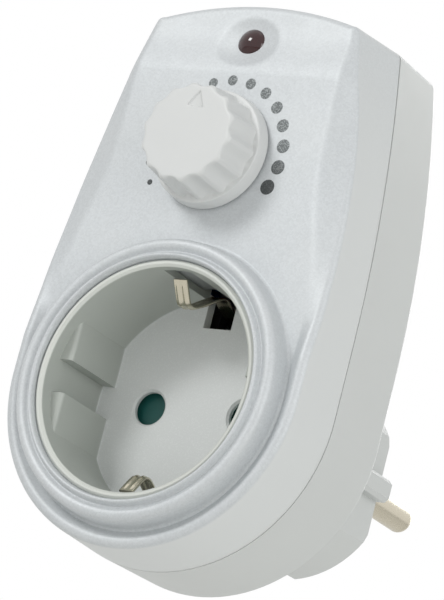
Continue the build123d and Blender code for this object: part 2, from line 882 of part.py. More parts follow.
def earth_clip(side):
    """Sprung leaf of the socket, above (1) or below (-1); it starts just in front of the strip."""
    root_height = strip_inner_height + strip_thickness / 2
    with BuildPart() as clip:
        with BuildSketch(Plane.YZ.offset(-leaf_half_width)):
            with BuildLine():
                FilletPolyline(
                    (strip_front_y - leaf_hinge_gap, side * root_height),
                    (lip_y + leaf_shoulder_depth, side * leaf_shoulder_height),
                    (lip_y + leaf_touch_depth, side * leaf_touch_height),
                    (lip_y + leaf_tip_depth, side * leaf_tip_height),
                    radius=leaf_bend_radius,
                )
            trace(line_width=leaf_thickness)
        extrude(amount=2 * leaf_half_width)
    return clip


pieces["upper_earth_strip"] = earth_strip(1)
pieces["lower_earth_strip"] = earth_strip(-1)
pieces["upper_earth_clip"] = earth_clip(1)
pieces["lower_earth_clip"] = earth_clip(-1)

with BuildPart() as earth_bridge:
    block(
        (-strip_half_width, strip_half_width),
        (bridge_y, bridge_y + strip_thickness),
        (-strip_inner_height, strip_inner_height),
    )

pieces["earth_bridge"] = earth_bridge


# Knob: hollow and fluted, with a skirt and an engraved pointer, on the flatted shaft
with BuildPart() as knob:
    turned(
        [
            (0, knob_face_y),
            (knob_face_radius, knob_face_y),
            (knob_side_radius, knob_face_y + knob_rim_depth),
            (knob_shoulder_radius, knob_shoulder_y),
            (knob_ledge_radius, knob_shoulder_y),
            (knob_skirt_radius, knob_back_y),
            (knob_hollow_radius, knob_back_y),
            (knob_hollow_radius, knob_face_y + knob_face_wall),
            (0, knob_face_y + knob_face_wall),
        ],
        height=knob_height,
    )
    bar(knob_face_y + knob_face_wall, knob_hub_y, knob_hub_radius, knob_place)
    with BuildSketch(knob_plane(knob_hub_y)):
        Circle(shaft_radius + running_clearance)
        with Locations((0, -shaft_flat - running_clearance)):
            Rectangle(2 * shaft_radius, shaft_radius, align=(Align.CENTER, Align.MAX), mode=Mode.SUBTRACT)
    extrude(amount=knob_hub_y - shaft_front_y + running_clearance, mode=Mode.SUBTRACT)
    # Flutes follow the taper of the side and end at the shoulder
    for count in range(flute_count):
        turn = radians(pointer_angle + 360 / flute_count * count)
        lift = flute_radius - flute_bite
        start_radius = knob_side_radius + lift
        end_radius = knob_shoulder_radius + lift
        start = Vector(start_radius * sin(turn), knob_face_y, knob_height + start_radius * cos(turn))
        end = Vector(end_radius * sin(turn), knob_shoulder_y, knob_height + end_radius * cos(turn))
        flute = end - start
        rod(Plane(origin=start, z_dir=flute), flute.length, flute_radius, centre, mode=Mode.SUBTRACT)
    with BuildSketch(knob_plane(knob_face_y + pointer_depth)):
        with BuildLine():
            Polyline(
                (-pointer_half_width, pointer_base),
                (pointer_half_width, pointer_base),
                (0, pointer_tip),
                close=True,
            )
        make_face()
    extrude(amount=pointer_depth + overrun, mode=Mode.SUBTRACT)

pieces["knob"] = knob

with BuildPart() as indicator_lens:
    with BuildSketch(Plane.XY.offset(lens_height)):
        with BuildLine():
            Line((0, lens_y), (0, lens_y - lens_dome))
            TangentArc((0, lens_y - lens_dome), (lens_radius, lens_y), tangent=(1, 0))
            Line((lens_radius, lens_y), (0, lens_y))
        make_face()
    revolve(axis=Axis((0, 0, lens_height), (0, 1, 0)))
    bar(lens_y, lens_pad_y, lens_radius, lens_place)
    bar(lens_pad_y, lens_pad_y + lens_flange_depth, lens_radius + lens_flange, lens_place)

pieces["indicator_lens"] = indicator_lens

with BuildPart() as indicator_lamp:
    bar(lens_pad_y + lens_flange_depth + gap, board_y, lamp_radius, lens_place)

pieces["indicator_lamp"] = indicator_lamp


# Potentiometer: housing with its threaded bush, nut, shaft with rotor, wiper and track
with BuildPart() as potentiometer_housing:
    bar(lip_y + bush_reach, pot_y, bush_radius, knob_place)
    bar(pot_y, board_y, pot_radius, knob_place)
    bar(pot_y + pot_wall, board_y - pot_wall, pot_radius - pot_wall, knob_place, mode=Mode.SUBTRACT)
    bar(lip_y, pot_y + pot_wall, shaft_radius + running_clearance, knob_place, mode=Mode.SUBTRACT)
    sector(
        rotor_y + rotor_thickness, rotor_thickness, rotor_radius + contact_gap, pot_radius - pot_wall / 2,
        180, housing_stop_half_angle,
    )

pieces["potentiometer_housing"] = potentiometer_housing

with BuildPart() as potentiometer_nut:
    with BuildSketch(at_depth(panel_y)):
        with Locations(*knob_place):
            RegularPolygon(nut_half_flats, 6, major_radius=False)
            Circle(bush_radius + running_clearance, mode=Mode.SUBTRACT)
    extrude(amount=nut_thickness)

pieces["potentiometer_nut"] = potentiometer_nut

with BuildPart() as potentiometer_shaft:
    bar(shaft_front_y, wiper_y, shaft_radius, knob_place)
    with BuildSketch(knob_plane(knob_hub_y)):
        with Locations((0, -shaft_flat)):
            Rectangle(2 * shaft_radius, shaft_radius, align=(Align.CENTER, Align.MAX))
    extrude(amount=knob_hub_y - shaft_front_y, mode=Mode.SUBTRACT)
    bar(rotor_y, wiper_y, rotor_radius, knob_place)
    sector(wiper_y, rotor_thickness, shaft_radius, rotor_stop_radius, pointer_angle, rotor_stop_half_angle)

pieces["potentiometer_shaft"] = potentiometer_shaft

with BuildPart() as potentiometer_wiper:
    wiper_back_y = track_y - contact_gap
    sector(
        wiper_back_y, wiper_thickness, shaft_radius, rotor_radius, pointer_angle, rotor_stop_half_angle
    )

pieces["potentiometer_wiper"] = potentiometer_wiper

with BuildPart() as potentiometer_track:
    track_back_y = track_y + track_thickness
    track_half_angle = 180 - housing_stop_half_angle / 2
    sector(track_back_y, track_thickness, shaft_radius, track_radius, 0, track_half_angle)

pieces["potentiometer_track"] = potentiometer_track


# Circuit board with a tongue that carries the indicator lamp
with BuildPart() as circuit_board:
    with BuildSketch(at_depth(board_back_y)):
        with Locations((0, (board_bottom + board_top) / 2)):
            Rectangle(2 * board_half_width, board_top - board_bottom)
        with Locations((0, board_top)):
            Rectangle(
                2 * board_tongue_half_width, board_tongue_top - board_top, align=(Align.CENTER, Align.MIN)
            )
        with Locations(*board_posts):
            Circle(board_screw_radius + running_clearance, mode=Mode.SUBTRACT)
    extrude(amount=board_thickness)

pieces["circuit_board"] = circuit_board

with BuildPart() as board_screws:
    bar(board_back_y, board_back_y + board_screw_head_depth, board_screw_head_radius, board_posts)
    bar(board_screw_tip_y, board_back_y, board_screw_radius, board_posts)

pieces["board_screws"] = board_screws


def board_box(x, height, width, length, depth):
    """Box that stands on the back of the board, centred on an x and a height."""
    with BuildPart() as box:
        block(
            (x - width / 2, x + width / 2),
            (board_back_y, board_back_y + depth),
            (height - length / 2, height + length / 2),
        )
        fillet(box.faces().sort_by(Axis.Y)[-1].edges(), board_rounding)
    return box


choke_y = board_back_y + choke_winding_radius
choke_margin = (choke_core_length - choke_winding_length) / 2
with BuildPart() as choke_core:
    rod(Plane.XY.offset(choke_low), choke_core_length, choke_core_radius, [(choke_x, choke_y)])
with BuildPart() as choke_winding:
    winding_plane = Plane.XY.offset(choke_low + choke_margin)
    rod(winding_plane, choke_winding_length, choke_winding_radius, [(choke_x, choke_y)])
    rod(winding_plane, choke_winding_length, choke_core_radius + running_clearance, [(choke_x, choke_y)],
        mode=Mode.SUBTRACT)

pieces["choke_core"] = choke_core
pieces["choke_winding"] = choke_winding
pieces["suppression_capacitor"] = board_box(
    suppressor_x, suppressor_height, suppressor_width, suppressor_length, suppressor_depth
)
pieces["timing_capacitor"] = board_box(timer_x, timer_height, timer_width, timer_length, timer_depth)

# Triac under its heat sink above the choke, and the screw that clamps them
triac_height = choke_low + choke_core_length + triac_gap + heat_sink_length / 2
with BuildPart() as triac:
    block(
        (triac_x - triac_width / 2, triac_x + triac_width / 2),
        (board_back_y, triac_back_y),
        (triac_height - triac_length / 2, triac_height + triac_length / 2),
    )
    bar(triac_back_y - triac_screw_grip, triac_back_y, triac_screw_radius + running_clearance,
        [(triac_screw_x, triac_height)], mode=Mode.SUBTRACT)

with BuildPart() as heat_sink:
    sink_low = triac_height - heat_sink_length / 2
    sink_high = triac_height + heat_sink_length / 2
    plate_back_y = triac_back_y + heat_sink_plate
    block(
        (triac_x - heat_sink_width / 2, triac_x + heat_sink_width / 2),
        (triac_back_y, plate_back_y),
        (sink_low, sink_high),
    )
    fin_x = heat_sink_width / 2 - heat_sink_fin / 2
    for x in (triac_x - fin_x, triac_x, triac_x + fin_x):
        block(
            (x - heat_sink_fin / 2, x + heat_sink_fin / 2),
            (triac_back_y, triac_back_y + heat_sink_depth),
            (sink_low, sink_high),
        )
    bar(triac_back_y, plate_back_y, triac_screw_radius + running_clearance,
        [(triac_screw_x, triac_height)], mode=Mode.SUBTRACT)

with BuildPart() as triac_screw:
    screw_back_y = plate_back_y + triac_screw_head_depth
    bar(plate_back_y, screw_back_y, triac_screw_head_radius, [(triac_screw_x, triac_height)])
    bar(triac_back_y - triac_screw_grip, plate_back_y, triac_screw_radius, [(triac_screw_x, triac_height)])

pieces["triac"] = triac
pieces["heat_sink"] = heat_sink
pieces["triac_screw"] = triac_screw

with BuildPart() as diac:
    rod(Plane.XY.offset(diac_low), diac_length, diac_radius, [(diac_x, board_back_y + diac_radius)])

with BuildPart() as resistors:
    rod(
        Plane.YZ.offset(resistor_x - resistor_length / 2), resistor_length, resistor_radius,
        [(board_back_y + resistor_radius, height) for height in resistor_heights],
    )

pieces["diac"] = diac
pieces["resistors"] = resistors

with BuildPart() as fuse:
    rod(Plane.XY.offset(fuse_low), fuse_length, fuse_radius, [(fuse_x, fuse_y)])

with BuildPart() as fuse_clips:
    clip_outer = fuse_radius + fuse_clip_wall
    for low in (fuse_low, fuse_low + fuse_length - fuse_clip_length):
        high = low + fuse_clip_length
        block((fuse_x - clip_outer, fuse_x + clip_outer), (board_back_y, fuse_y), (low, high))
    rod(Plane.XY.offset(fuse_low), fuse_length, fuse_radius + running_clearance, [(fuse_x, fuse_y)],
        mode=Mode.SUBTRACT)

pieces["fuse"] = fuse
pieces["fuse_clips"] = fuse_clips


def wire(points):
    """Insulated wire along straight runs joined by bends."""
    with BuildPart() as lead:
        with BuildLine() as route:
            FilletPolyline(*points, radius=wire_bend)
        with BuildSketch(Plane(origin=route.line @ 0, z_dir=route.line % 0)):
            Circle(wire_radius)
        sweep()
    return lead


# Each wire leaves its contact, rises to the lane behind the carrier and lands on the board
live_turn_y = pin_tail_y - wire_lead
load_turn_y = sleeve_back_y + wire_sweep
neutral_turn_y = (sleeve_back_y + pin_tail_y) / 2
pieces["live_wire"] = wire(
    [
        (pin_x, pin_tail_y, 0),
        (pin_x, live_turn_y, 0),
        (live_wire_x, live_turn_y - wire_sweep, wire_rise),
        (live_wire_x, wire_lane_y, wire_lane_rise),
        (live_wire_x, wire_lane_y, wire_landing_height),
        (live_wire_x, board_back_y, wire_landing_height),
    ]
)
pieces["load_wire"] = wire(
    [
        (pin_x - wire_radius, sleeve_back_y, 0),
        (pin_x - wire_radius, load_turn_y, 0),
        (load_wire_x, load_turn_y, wire_rise),
        (load_wire_x, wire_lane_y, wire_lane_rise),
        (load_wire_x, wire_lane_y, wire_landing_height),
        (load_wire_x, board_back_y, wire_landing_height),
    ]
)
pieces["neutral_wire"] = wire(
    [
        (-pin_x, neutral_turn_y, strap_thickness / 2),
        (-pin_x, neutral_turn_y, wire_rise),
        (neutral_wire_x, wire_lane_y, wire_lane_rise),
        (neutral_wire_x, wire_lane_y, wire_landing_height),
        (neutral_wire_x, board_back_y, wire_landing_height),
    ]
)

for name, piece in pieces.items():
    piece.part.label = name
    export_step(piece.part, f"parts/{name}.step")
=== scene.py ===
"""Looks of a plug-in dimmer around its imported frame: shell, socket, knob, scale and light.

Every size in a class is in millimetres and becomes metres only where a mesh is made. X runs to the
right, Y from the front towards the wall and Z up; depths are given along Y from the plug's face.
"""

import json
import logging
import math
from collections.abc import Sequence
from dataclasses import dataclass, field
from enum import Enum

import bmesh
import bpy
import numpy as np
from mathutils import Euler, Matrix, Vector

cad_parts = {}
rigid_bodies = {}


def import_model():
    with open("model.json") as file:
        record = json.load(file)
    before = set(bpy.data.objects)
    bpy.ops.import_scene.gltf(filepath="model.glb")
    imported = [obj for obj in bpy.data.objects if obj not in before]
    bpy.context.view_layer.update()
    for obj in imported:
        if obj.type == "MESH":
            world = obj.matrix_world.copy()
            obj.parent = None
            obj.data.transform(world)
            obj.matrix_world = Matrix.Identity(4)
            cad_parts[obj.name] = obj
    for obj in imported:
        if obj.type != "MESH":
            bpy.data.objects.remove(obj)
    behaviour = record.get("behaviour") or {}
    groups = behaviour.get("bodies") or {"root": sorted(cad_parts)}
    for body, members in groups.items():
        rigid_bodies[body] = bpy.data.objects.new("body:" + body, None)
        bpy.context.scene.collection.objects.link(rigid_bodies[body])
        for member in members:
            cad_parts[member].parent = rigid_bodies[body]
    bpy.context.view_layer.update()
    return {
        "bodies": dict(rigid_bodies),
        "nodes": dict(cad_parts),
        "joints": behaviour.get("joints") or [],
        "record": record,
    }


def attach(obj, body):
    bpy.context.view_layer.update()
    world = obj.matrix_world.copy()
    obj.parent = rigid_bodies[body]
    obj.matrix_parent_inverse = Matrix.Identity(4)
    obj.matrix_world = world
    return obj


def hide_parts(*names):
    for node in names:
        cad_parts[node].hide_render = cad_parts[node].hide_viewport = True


LOG = logging.getLogger("dimmer")
MM = 0.001
IMAGE_SIZE = (444, 600)

# Depths of the dimmer's faces along Y
LIP = -56.3
PANEL = -52.1
FLOOR = -38.6
PARTING = -40.9
COVER_FRONT = -55.3
# Heights above the socket's axis, and how far the pointer stands to the right of straight up
KNOB_HEIGHT = 41.8
LENS_HEIGHT = 62.5
POINTER_ANGLE = 5.5
# Points nearer than this are one
MERGE_REACH = 0.002

Colour = tuple[float, float, float, float]
Tree = bpy.types.NodeTree
Socket = bpy.types.NodeSocket


def linear(code: str) -> Colour:
    """Linear colour of an sRGB hex value.

    Args:
        code: six hex digits, with or without a leading mark.

    Returns:
        Red, green, blue and an alpha of one.
    """
    code = code.lstrip("#")
    shares = [int(code[at:at + 2], 16) / 255 for at in (0, 2, 4)]
    red, green, blue = (
        s / 12.92 if s <= 0.04045 else ((s + 0.055) / 1.055) ** 2.4 for s in shares
    )
    return red, green, blue, 1.0


def shaded(code: str, factor: float) -> Colour:
    """Linear colour of a hex value, darker or lighter by a factor."""
    red, green, blue, alpha = linear(code)
    return min(red * factor, 1), min(green * factor, 1), min(blue * factor, 1), alpha


def add_node(
    tree: Tree, kind: str, sockets: dict[str | int, object] | None = None, **settings: object
) -> bpy.types.Node:
    """Add one node with its settings, and fill or link its sockets.

    Args:
        tree: the node tree that takes the node.
        kind: the node's type name.
        sockets: socket name or number against a value or another node's output.
        settings: properties of the node.

    Returns:
        The new node.
    """
    node = tree.nodes.new(kind)
    for name, value in settings.items():
        setattr(node, name, value)
    for name, value in (sockets or {}).items():
        if isinstance(value, bpy.types.NodeSocket):
            tree.links.new(value, node.inputs[name])
        else:
            node.inputs[name].default_value = value
    return node


def blend(tree: Tree, share: Socket, low: Colour | Socket, high: Colour | Socket) -> Socket:
    """Mix two colours.

    Args:
        tree: the material's nodes.
        share: share of the second colour.
        low: colour where the share is nought.
        high: colour where the share is one.

    Returns:
        The mixed colour.
    """
    mixed = add_node(tree, "ShaderNodeMix", {0: share, 6: low, 7: high}, data_type="RGBA")
    return mixed.outputs[2]


def share_between(
    tree: Tree, value: Socket, start: float, end: float, full: float = 1.0, **settings: object
) -> Socket:
    """Turn a range of values into a share.

    Args:
        tree: the material's nodes.
        value: what the share follows.
        start: value at which the share is nought.
        end: value at which the share is full.
        full: the largest share.
        settings: properties of the node.

    Returns:
        The share, held between nought and the largest.
    """
    node = add_node(
        tree, "ShaderNodeMapRange",
        {"Value": value, "From Min": start, "From Max": end, "To Max": full}, **settings,
    )
    return node.outputs["Result"]


@dataclass(frozen=True)
class Finish:
    """A surface by what it is and how it was made; uneven in tone, gloss and relief."""

    name: str
    colour: str
    roughness: float
    metallic: float = 0.0
    ior: float = 1.5
    mottle_mm: float = 8.0
    mottle: float = 0.04
    grain_mm: float = 0.5
    relief_mm: float = 0.01
    stretch: tuple[float, float, float] = (1.0, 1.0, 1.0)
    gloss_drift: float = 0.12
    gloss_spots_per_mottle: float = 3.0

    def material(self) -> bpy.types.Material:
        """Build the material.

        Returns:
            The finished Blender material.
        """
        material = bpy.data.materials.new(self.name)
        material.use_nodes = True
        tree = material.node_tree
        tree.nodes.clear()
        place = add_node(tree, "ShaderNodeTexCoord").outputs["Object"]
        shader = add_node(
            tree, "ShaderNodeBsdfPrincipled",
            {"Metallic": self.metallic, "IOR": self.ior, "Base Color": self.tone(tree, place)},
        )
        gloss = self.spots(tree, place, self.mottle_mm / self.gloss_spots_per_mottle)
        spread = add_node(
            tree, "ShaderNodeMapRange",
            {
                "Value": gloss, "To Min": self.roughness * (1 - self.gloss_drift),
                "To Max": self.roughness * (1 + self.gloss_drift),
            },
        )
        tree.links.new(spread.outputs["Result"], shader.inputs["Roughness"])
        bump = add_node(
            tree, "ShaderNodeBump",
            {
                "Strength": 1.0, "Distance": self.relief_mm * MM,
                "Height": self.spots(tree, place, self.grain_mm, 2.0),
            },
        )
        tree.links.new(bump.outputs["Normal"], shader.inputs["Normal"])
        self.adjust(tree, shader)
        add_node(tree, "ShaderNodeOutputMaterial", {"Surface": shader.outputs["BSDF"]})
        return material

    def spots(self, tree: Tree, place: Socket, size_mm: float, detail: float = 3.0) -> Socket:
        """Pattern of soft spots, drawn out along the way that the surface was worked.

        Args:
            tree: the material's nodes.
            place: the surface's own coordinates.
            size_mm: how far a spot reaches.
            detail: how much finer the smallest spots are.

        Returns:
            A value from 0 to 1.
        """
        spread = add_node(
            tree, "ShaderNodeMapping", {"Vector": place, "Scale": self.stretch}
        ).outputs["Vector"]
        node = add_node(
            tree, "ShaderNodeTexNoise",
            {"Vector": spread, "Scale": 1 / (size_mm * MM), "Detail": detail},
        )
        return node.outputs["Factor" if "Factor" in node.outputs else "Fac"]

    def tone(self, tree: Tree, place: Socket) -> Socket:
        """Colour that drifts a little darker and lighter over the surface.

        Args:
            tree: the material's nodes.
            place: the surface's own coordinates.

        Returns:
            The colour.
        """
        drift = self.spots(tree, place, self.mottle_mm)
        dark, light = shaded(self.colour, 1 - self.mottle), shaded(self.colour, 1 + self.mottle)
        return blend(tree, drift, dark, light)

    def adjust(self, tree: Tree, shader: bpy.types.Node) -> None:
        """Last changes to the shader; the plain finish makes none."""


@dataclass(frozen=True)
class SprayedCover(Finish):
    """Silver paint sprayed from the front onto ABS: fine flakes, and bare plastic at the sides."""

    bare: str = "D3D6D5"
    flake_mm: float = 0.3
    flake: float = 0.05
    cloud_mm: float = 14.0
    cloud_from: float = 0.42
    cloud_to: float = 0.75
    thinnest: float = 0.22
    masked_reach: float = 26.2
    bare_facing: float = -0.12
    full_facing: float = -0.55

    def tone(self, tree: Tree, place: Socket) -> Socket:
        """Flaked paint where the surface faces the spray, and plain plastic where it turns away.

        Args:
            tree: the material's nodes.
            place: the surface's own coordinates.

        Returns:
            The colour.
        """
        cells = add_node(
            tree, "ShaderNodeTexVoronoi", {"Vector": place, "Scale": 1 / (self.flake_mm * MM)}
        ).outputs["Color"]
        level = add_node(tree, "ShaderNodeSeparateColor", {"Color": cells}).outputs[0]
        dark, light = shaded(self.colour, 1 - self.flake), shaded(self.colour, 1 + self.flake)
        flakes = blend(tree, level, dark, light)
        cloud = self.spots(tree, place, self.cloud_mm)
        thin = share_between(tree, cloud, self.cloud_from, self.cloud_to, self.thinnest)
        clouded = blend(tree, thin, flakes, linear(self.bare))
        return blend(tree, self.cover_share(tree), linear(self.bare), clouded)

    def cover_share(self, tree: Tree) -> Socket:
        """Share of the surface under paint: the whole collar, and beyond it what faces the front.

        Args:
            tree: the material's nodes.

        Returns:
            A value from 0 to 1.
        """
        coordinates = add_node(tree, "ShaderNodeTexCoord").outputs
        depth = add_node(tree, "ShaderNodeSeparateXYZ", {"Vector": coordinates["Normal"]})
        facing = share_between(
            tree, depth.outputs["Y"], self.bare_facing, self.full_facing,
            interpolation_type="SMOOTHSTEP",
        )
        across = add_node(
            tree, "ShaderNodeVectorMath", {0: coordinates["Object"], 1: (1, 0, 1)},
            operation="MULTIPLY",
        ).outputs["Vector"]
        reach = add_node(tree, "ShaderNodeVectorMath", {0: across}, operation="LENGTH")
        collar = add_node(
            tree, "ShaderNodeMath", {0: reach.outputs["Value"], 1: self.masked_reach * MM},
            operation="LESS_THAN",
        ).outputs["Value"]
        share = add_node(tree, "ShaderNodeMath", {0: facing, 1: collar}, operation="MAXIMUM")
        return share.outputs["Value"]

    def adjust(self, tree: Tree, shader: bpy.types.Node) -> None:
        """Keep the metal sheen where the paint is.

        Args:
            tree: the material's nodes.
            shader: the surface shader.
        """
        sheen = add_node(
            tree, "ShaderNodeMath", {0: self.cover_share(tree), 1: self.metallic},
            operation="MULTIPLY",
        )
        tree.links.new(sheen.outputs[0], shader.inputs["Metallic"])


@dataclass(frozen=True)
class SpeckledPlastic(Finish):
    """Filled thermoset or coarse print: a plain ground with scattered specks."""

    speck: str = "FFFFFF"
    speck_mm: float = 0.45
    share: float = 0.2
    # How far the pattern's level moves for a whole share, and the speck's soft edge around it
    level_per_share: float = 0.3
    soft_below: float = 0.03
    soft_above: float = 0.05

    def tone(self, tree: Tree, place: Socket) -> Socket:
        """Ground colour with specks of the second colour.

        Args:
            tree: the material's nodes.
            place: the surface's own coordinates.

        Returns:
            The colour.
        """
        ground = super().tone(tree, place)
        level = 0.5 + (0.5 - self.share) * self.level_per_share
        specks = self.spots(tree, place, self.speck_mm, 1.0)
        mask = share_between(tree, specks, level - self.soft_below, level + self.soft_above)
        return blend(tree, mask, ground, linear(self.speck))


@dataclass(frozen=True)
class ScaleInk(SpeckledPlastic):
    """Screen print whose lower dots are drawn darker, towards a nearly solid colour."""

    # Colour that the dots are drawn towards lower down, its largest share, and the heights where
    # this darkening starts and is full
    lower_dot_colour: str = "2C2F30"
    fullest: float = 0.8
    darkening_from_mm: float = 44.0
    darkest_below_mm: float = 37.0

    def tone(self, tree: Tree, place: Socket) -> Socket:
        """Specked ink above, drawn towards a nearly solid dark colour lower down.

        Args:
            tree: the material's nodes.
            place: the surface's own coordinates.

        Returns:
            The colour.
        """
        height = add_node(tree, "ShaderNodeSeparateXYZ", {"Vector": place}).outputs["Z"]
        # Share of the darker colour, growing towards the bottom of the scale
        load = share_between(
            tree, height, self.darkening_from_mm * MM, self.darkest_below_mm * MM, self.fullest
        )
        return blend(tree, load, super().tone(tree, place), linear(self.lower_dot_colour))


@dataclass(frozen=True)
class SocketMoulding(SpeckledPlastic):
    """Socket compound: plain walls, a sparkling eroded floor and a lip; floor and lip painted
    lighter than the walls as painted light.
    """

    # Floor and lip colours are painted light: lighter than the walls of the same compound, standing
    # for the light that falls on them
    floor: str = "DEE1E0"
    lit_lip: str = "D3D6D0"
    sparkle_from: float = 0.52
    sparkle_to: float = 0.7
    # Where each tone starts and is full: before the floor's face, and behind the lip's face
    floor_edge: tuple[float, float] = (0.5, 0.1)
    lip_edge: tuple[float, float] = (0.8, 0.3)

    def tone(self, tree: Tree, place: Socket) -> Socket:
        """Wall, floor and lip tones, told apart by depth; the lighter floor and lip are painted
        light.

        Args:
            tree: the material's nodes.
            place: the surface's own coordinates.

        Returns:
            The colour.
        """
        depth = add_node(tree, "ShaderNodeSeparateXYZ", {"Vector": place}).outputs["Y"]
        wall = Finish.tone(self, tree, place)
        specks = self.spots(tree, place, self.speck_mm, 1.0)
        sparkle = share_between(tree, specks, self.sparkle_from, self.sparkle_to)
        # Painted light: the floor's lighter colour, under its real sparkle
        lit_sparkle_floor = blend(tree, sparkle, linear(self.floor), linear(self.speck))
        on_floor = share_between(tree, depth, *((FLOOR - edge) * MM for edge in self.floor_edge))
        on_lip = share_between(tree, depth, *((LIP + edge) * MM for edge in self.lip_edge))
        inside = blend(tree, on_floor, wall, lit_sparkle_floor)
        # Painted light: the lip's paler colour
        return blend(tree, on_lip, inside, linear(self.lit_lip))


@dataclass(frozen=True)
class SignalLens(Finish):
    """Dyed acrylic: clear red that looks almost black from outside."""

    coat: float = 0.3
    coat_roughness: float = 0.04
    depth_glow: float = 0.05
    glow_reach_mm: tuple[float, float, float] = (2.0, 0.4, 0.3)

    def adjust(self, tree: Tree, shader: bpy.types.Node) -> None:
        """Lay a polished skin over the dye.

        Args:
            tree: the material's nodes; not used.
            shader: the surface shader.
        """
        reach = tuple(length * MM for length in self.glow_reach_mm)
        shader.inputs["Coat Weight"].default_value = self.coat
        shader.inputs["Coat Roughness"].default_value = self.coat_roughness
        shader.inputs["Subsurface Weight"].default_value = self.depth_glow
        shader.inputs["Subsurface Radius"].default_value = reach


@dataclass(frozen=True)
class ClearTube(Finish):
    """Drawn glass."""

    clearness: float = 0.85

    def adjust(self, tree: Tree, shader: bpy.types.Node) -> None:
        """Let light through."""
        shader.inputs["Transmission Weight"].default_value = self.clearness


class Slot(Enum):
    """The record's material slots and the finish that each one gets."""

    # Silver lacquer on ABS: a satin sheen with fine grain, and bare plastic on the sides
    silver_paint = SprayedCover(
        "lacquered_abs", "C6CACC", 0.5, 0.18, mottle_mm=12, grain_mm=0.4, relief_mm=0.006
    )
    # Injection-moulded ABS from a lightly eroded mould: even, soft highlights
    grey_shell = Finish(
        "moulded_abs_shell", "C9CCCA", 0.46, mottle_mm=16, mottle=0.02, grain_mm=0.5,
        relief_mm=0.006,
    )
    # Moulded urea compound: pale, slightly green, with a fine sparkle on the floor; floor and lip
    # painted lighter than the walls as painted light
    grey_insert = SocketMoulding(
        "moulded_urea", "B1B6B0", 0.4, mottle_mm=9, mottle=0.02, speck="E4E7E6", speck_mm=0.22,
        grain_mm=0.3, relief_mm=0.006,
    )
    # Moulded ABS with a fine gloss: smooth highlights on the flutes
    grey_knob = Finish(
        "moulded_abs_knob", "D2D4D3", 0.38, mottle_mm=6, mottle=0.02, grain_mm=0.4,
        relief_mm=0.004,
    )
    # Dyed acrylic, moulded and polished: one sharp highlight on near-black red
    red_lens = SignalLens(
        "dyed_acrylic", "2E0508", 0.08, ior=1.49, mottle_mm=2, mottle=0.15, relief_mm=0.002
    )
    # Dyed polyamide, moulded: deep teal with a soft gloss
    teal_shutter = Finish(
        "dyed_polyamide", "1A5B56", 0.4, mottle_mm=3, mottle=0.1, grain_mm=0.4, relief_mm=0.01
    )
    # Turned brass, nickel plated: warm satin metal with turning marks
    nickel_pin = Finish(
        "nickel_plated_brass", "CDC6B4", 0.27, 1.0, mottle_mm=4, mottle=0.06, grain_mm=0.6,
        relief_mm=0.01, stretch=(1, 4, 1),
    )
    # Rolled bronze strip, nickel plated: bright, with faint rolling lines
    nickel_spring = Finish(
        "nickel_plated_strip", "CFC9B6", 0.22, 1.0, mottle_mm=3, mottle=0.08, grain_mm=0.5,
        relief_mm=0.01, stretch=(4, 1, 1),
    )
    # Cold-headed steel, zinc plated: cool grey metal
    zinc_screw = Finish(
        "zinc_plated_steel", "9FA3A6", 0.32, 1.0, mottle_mm=2, mottle=0.1, grain_mm=0.4
    )
    # Stamped brass sheet: yellow metal, a little uneven
    brass_contact = Finish(
        "stamped_brass", "C8A45A", 0.3, 1.0, mottle_mm=3, mottle=0.08, grain_mm=0.5
    )
    # Moulded phenolic: dull black
    black_plastic = Finish(
        "moulded_phenolic", "1B1C1D", 0.45, mottle_mm=3, mottle=0.15, grain_mm=0.4
    )
    # Moulded polyamide, undyed: warm white
    white_plastic = Finish(
        "moulded_polyamide", "DCDAD0", 0.45, mottle_mm=5, mottle=0.03, grain_mm=0.5
    )
    # Glass laminate under green lacquer: cloudy green
    board_laminate = Finish(
        "lacquered_laminate", "3F6A33", 0.4, mottle_mm=1.5, mottle=0.12, grain_mm=0.3
    )
    # Drawn spring wire: bright grey metal
    spring_steel = Finish(
        "drawn_steel", "8D9093", 0.3, 1.0, mottle_mm=2, mottle=0.1, grain_mm=0.3
    )
    # Extruded aluminium, as it leaves the die: fine lines along its height
    aluminium_sink = Finish(
        "extruded_aluminium", "B4B7B9", 0.4, 1.0, mottle_mm=2, mottle=0.08, grain_mm=0.4,
        stretch=(4, 4, 1),
    )
    # Sintered ferrite: dull, grainy black
    ferrite = Finish(
        "sintered_ferrite", "2A2A2C", 0.7, mottle_mm=1, mottle=0.2, grain_mm=0.3, relief_mm=0.03
    )
    # Enamelled copper wire in layers: fine bands across the winding
    copper_winding = Finish(
        "enamelled_copper", "A45A2E", 0.35, 0.8, mottle_mm=1.2, mottle=0.2, grain_mm=0.5,
        relief_mm=0.05, stretch=(0.2, 0.2, 2),
    )
    # Film capacitor in a cast epoxy box: plain yellow
    yellow_film = Finish("cast_epoxy", "D1B23A", 0.5, mottle_mm=3, mottle=0.06, grain_mm=0.4)
    # Drawn glass tube: clear and smooth
    glass_tube = ClearTube(
        "drawn_glass", "E6EEEE", 0.05, ior=1.52, mottle_mm=4, mottle=0.02, relief_mm=0.002
    )
    # Extruded PVC sheath: soft brown
    wire_brown = Finish("brown_pvc", "5A3018", 0.5, mottle_mm=3, mottle=0.1, grain_mm=0.4)
    # Extruded PVC sheath: soft blue
    wire_blue = Finish("blue_pvc", "1E4F9A", 0.5, mottle_mm=3, mottle=0.1, grain_mm=0.4)


# Coarse screen print with pale pinholes, drawn a little coarser than real so that they show
SCALE_INK = ScaleInk(
    "screen_print", "686D6E", 0.6, mottle_mm=0.5, mottle=0.2, speck="9CA1A1", speck_mm=0.2,
    share=0.4, grain_mm=0.3,
)
# Matt paper under the object
FLOOR_PAPER = Finish(
    "floor_paper", "F2F2F0", 0.8, mottle_mm=60, mottle=0.01, grain_mm=2.0, relief_mm=0.02
)


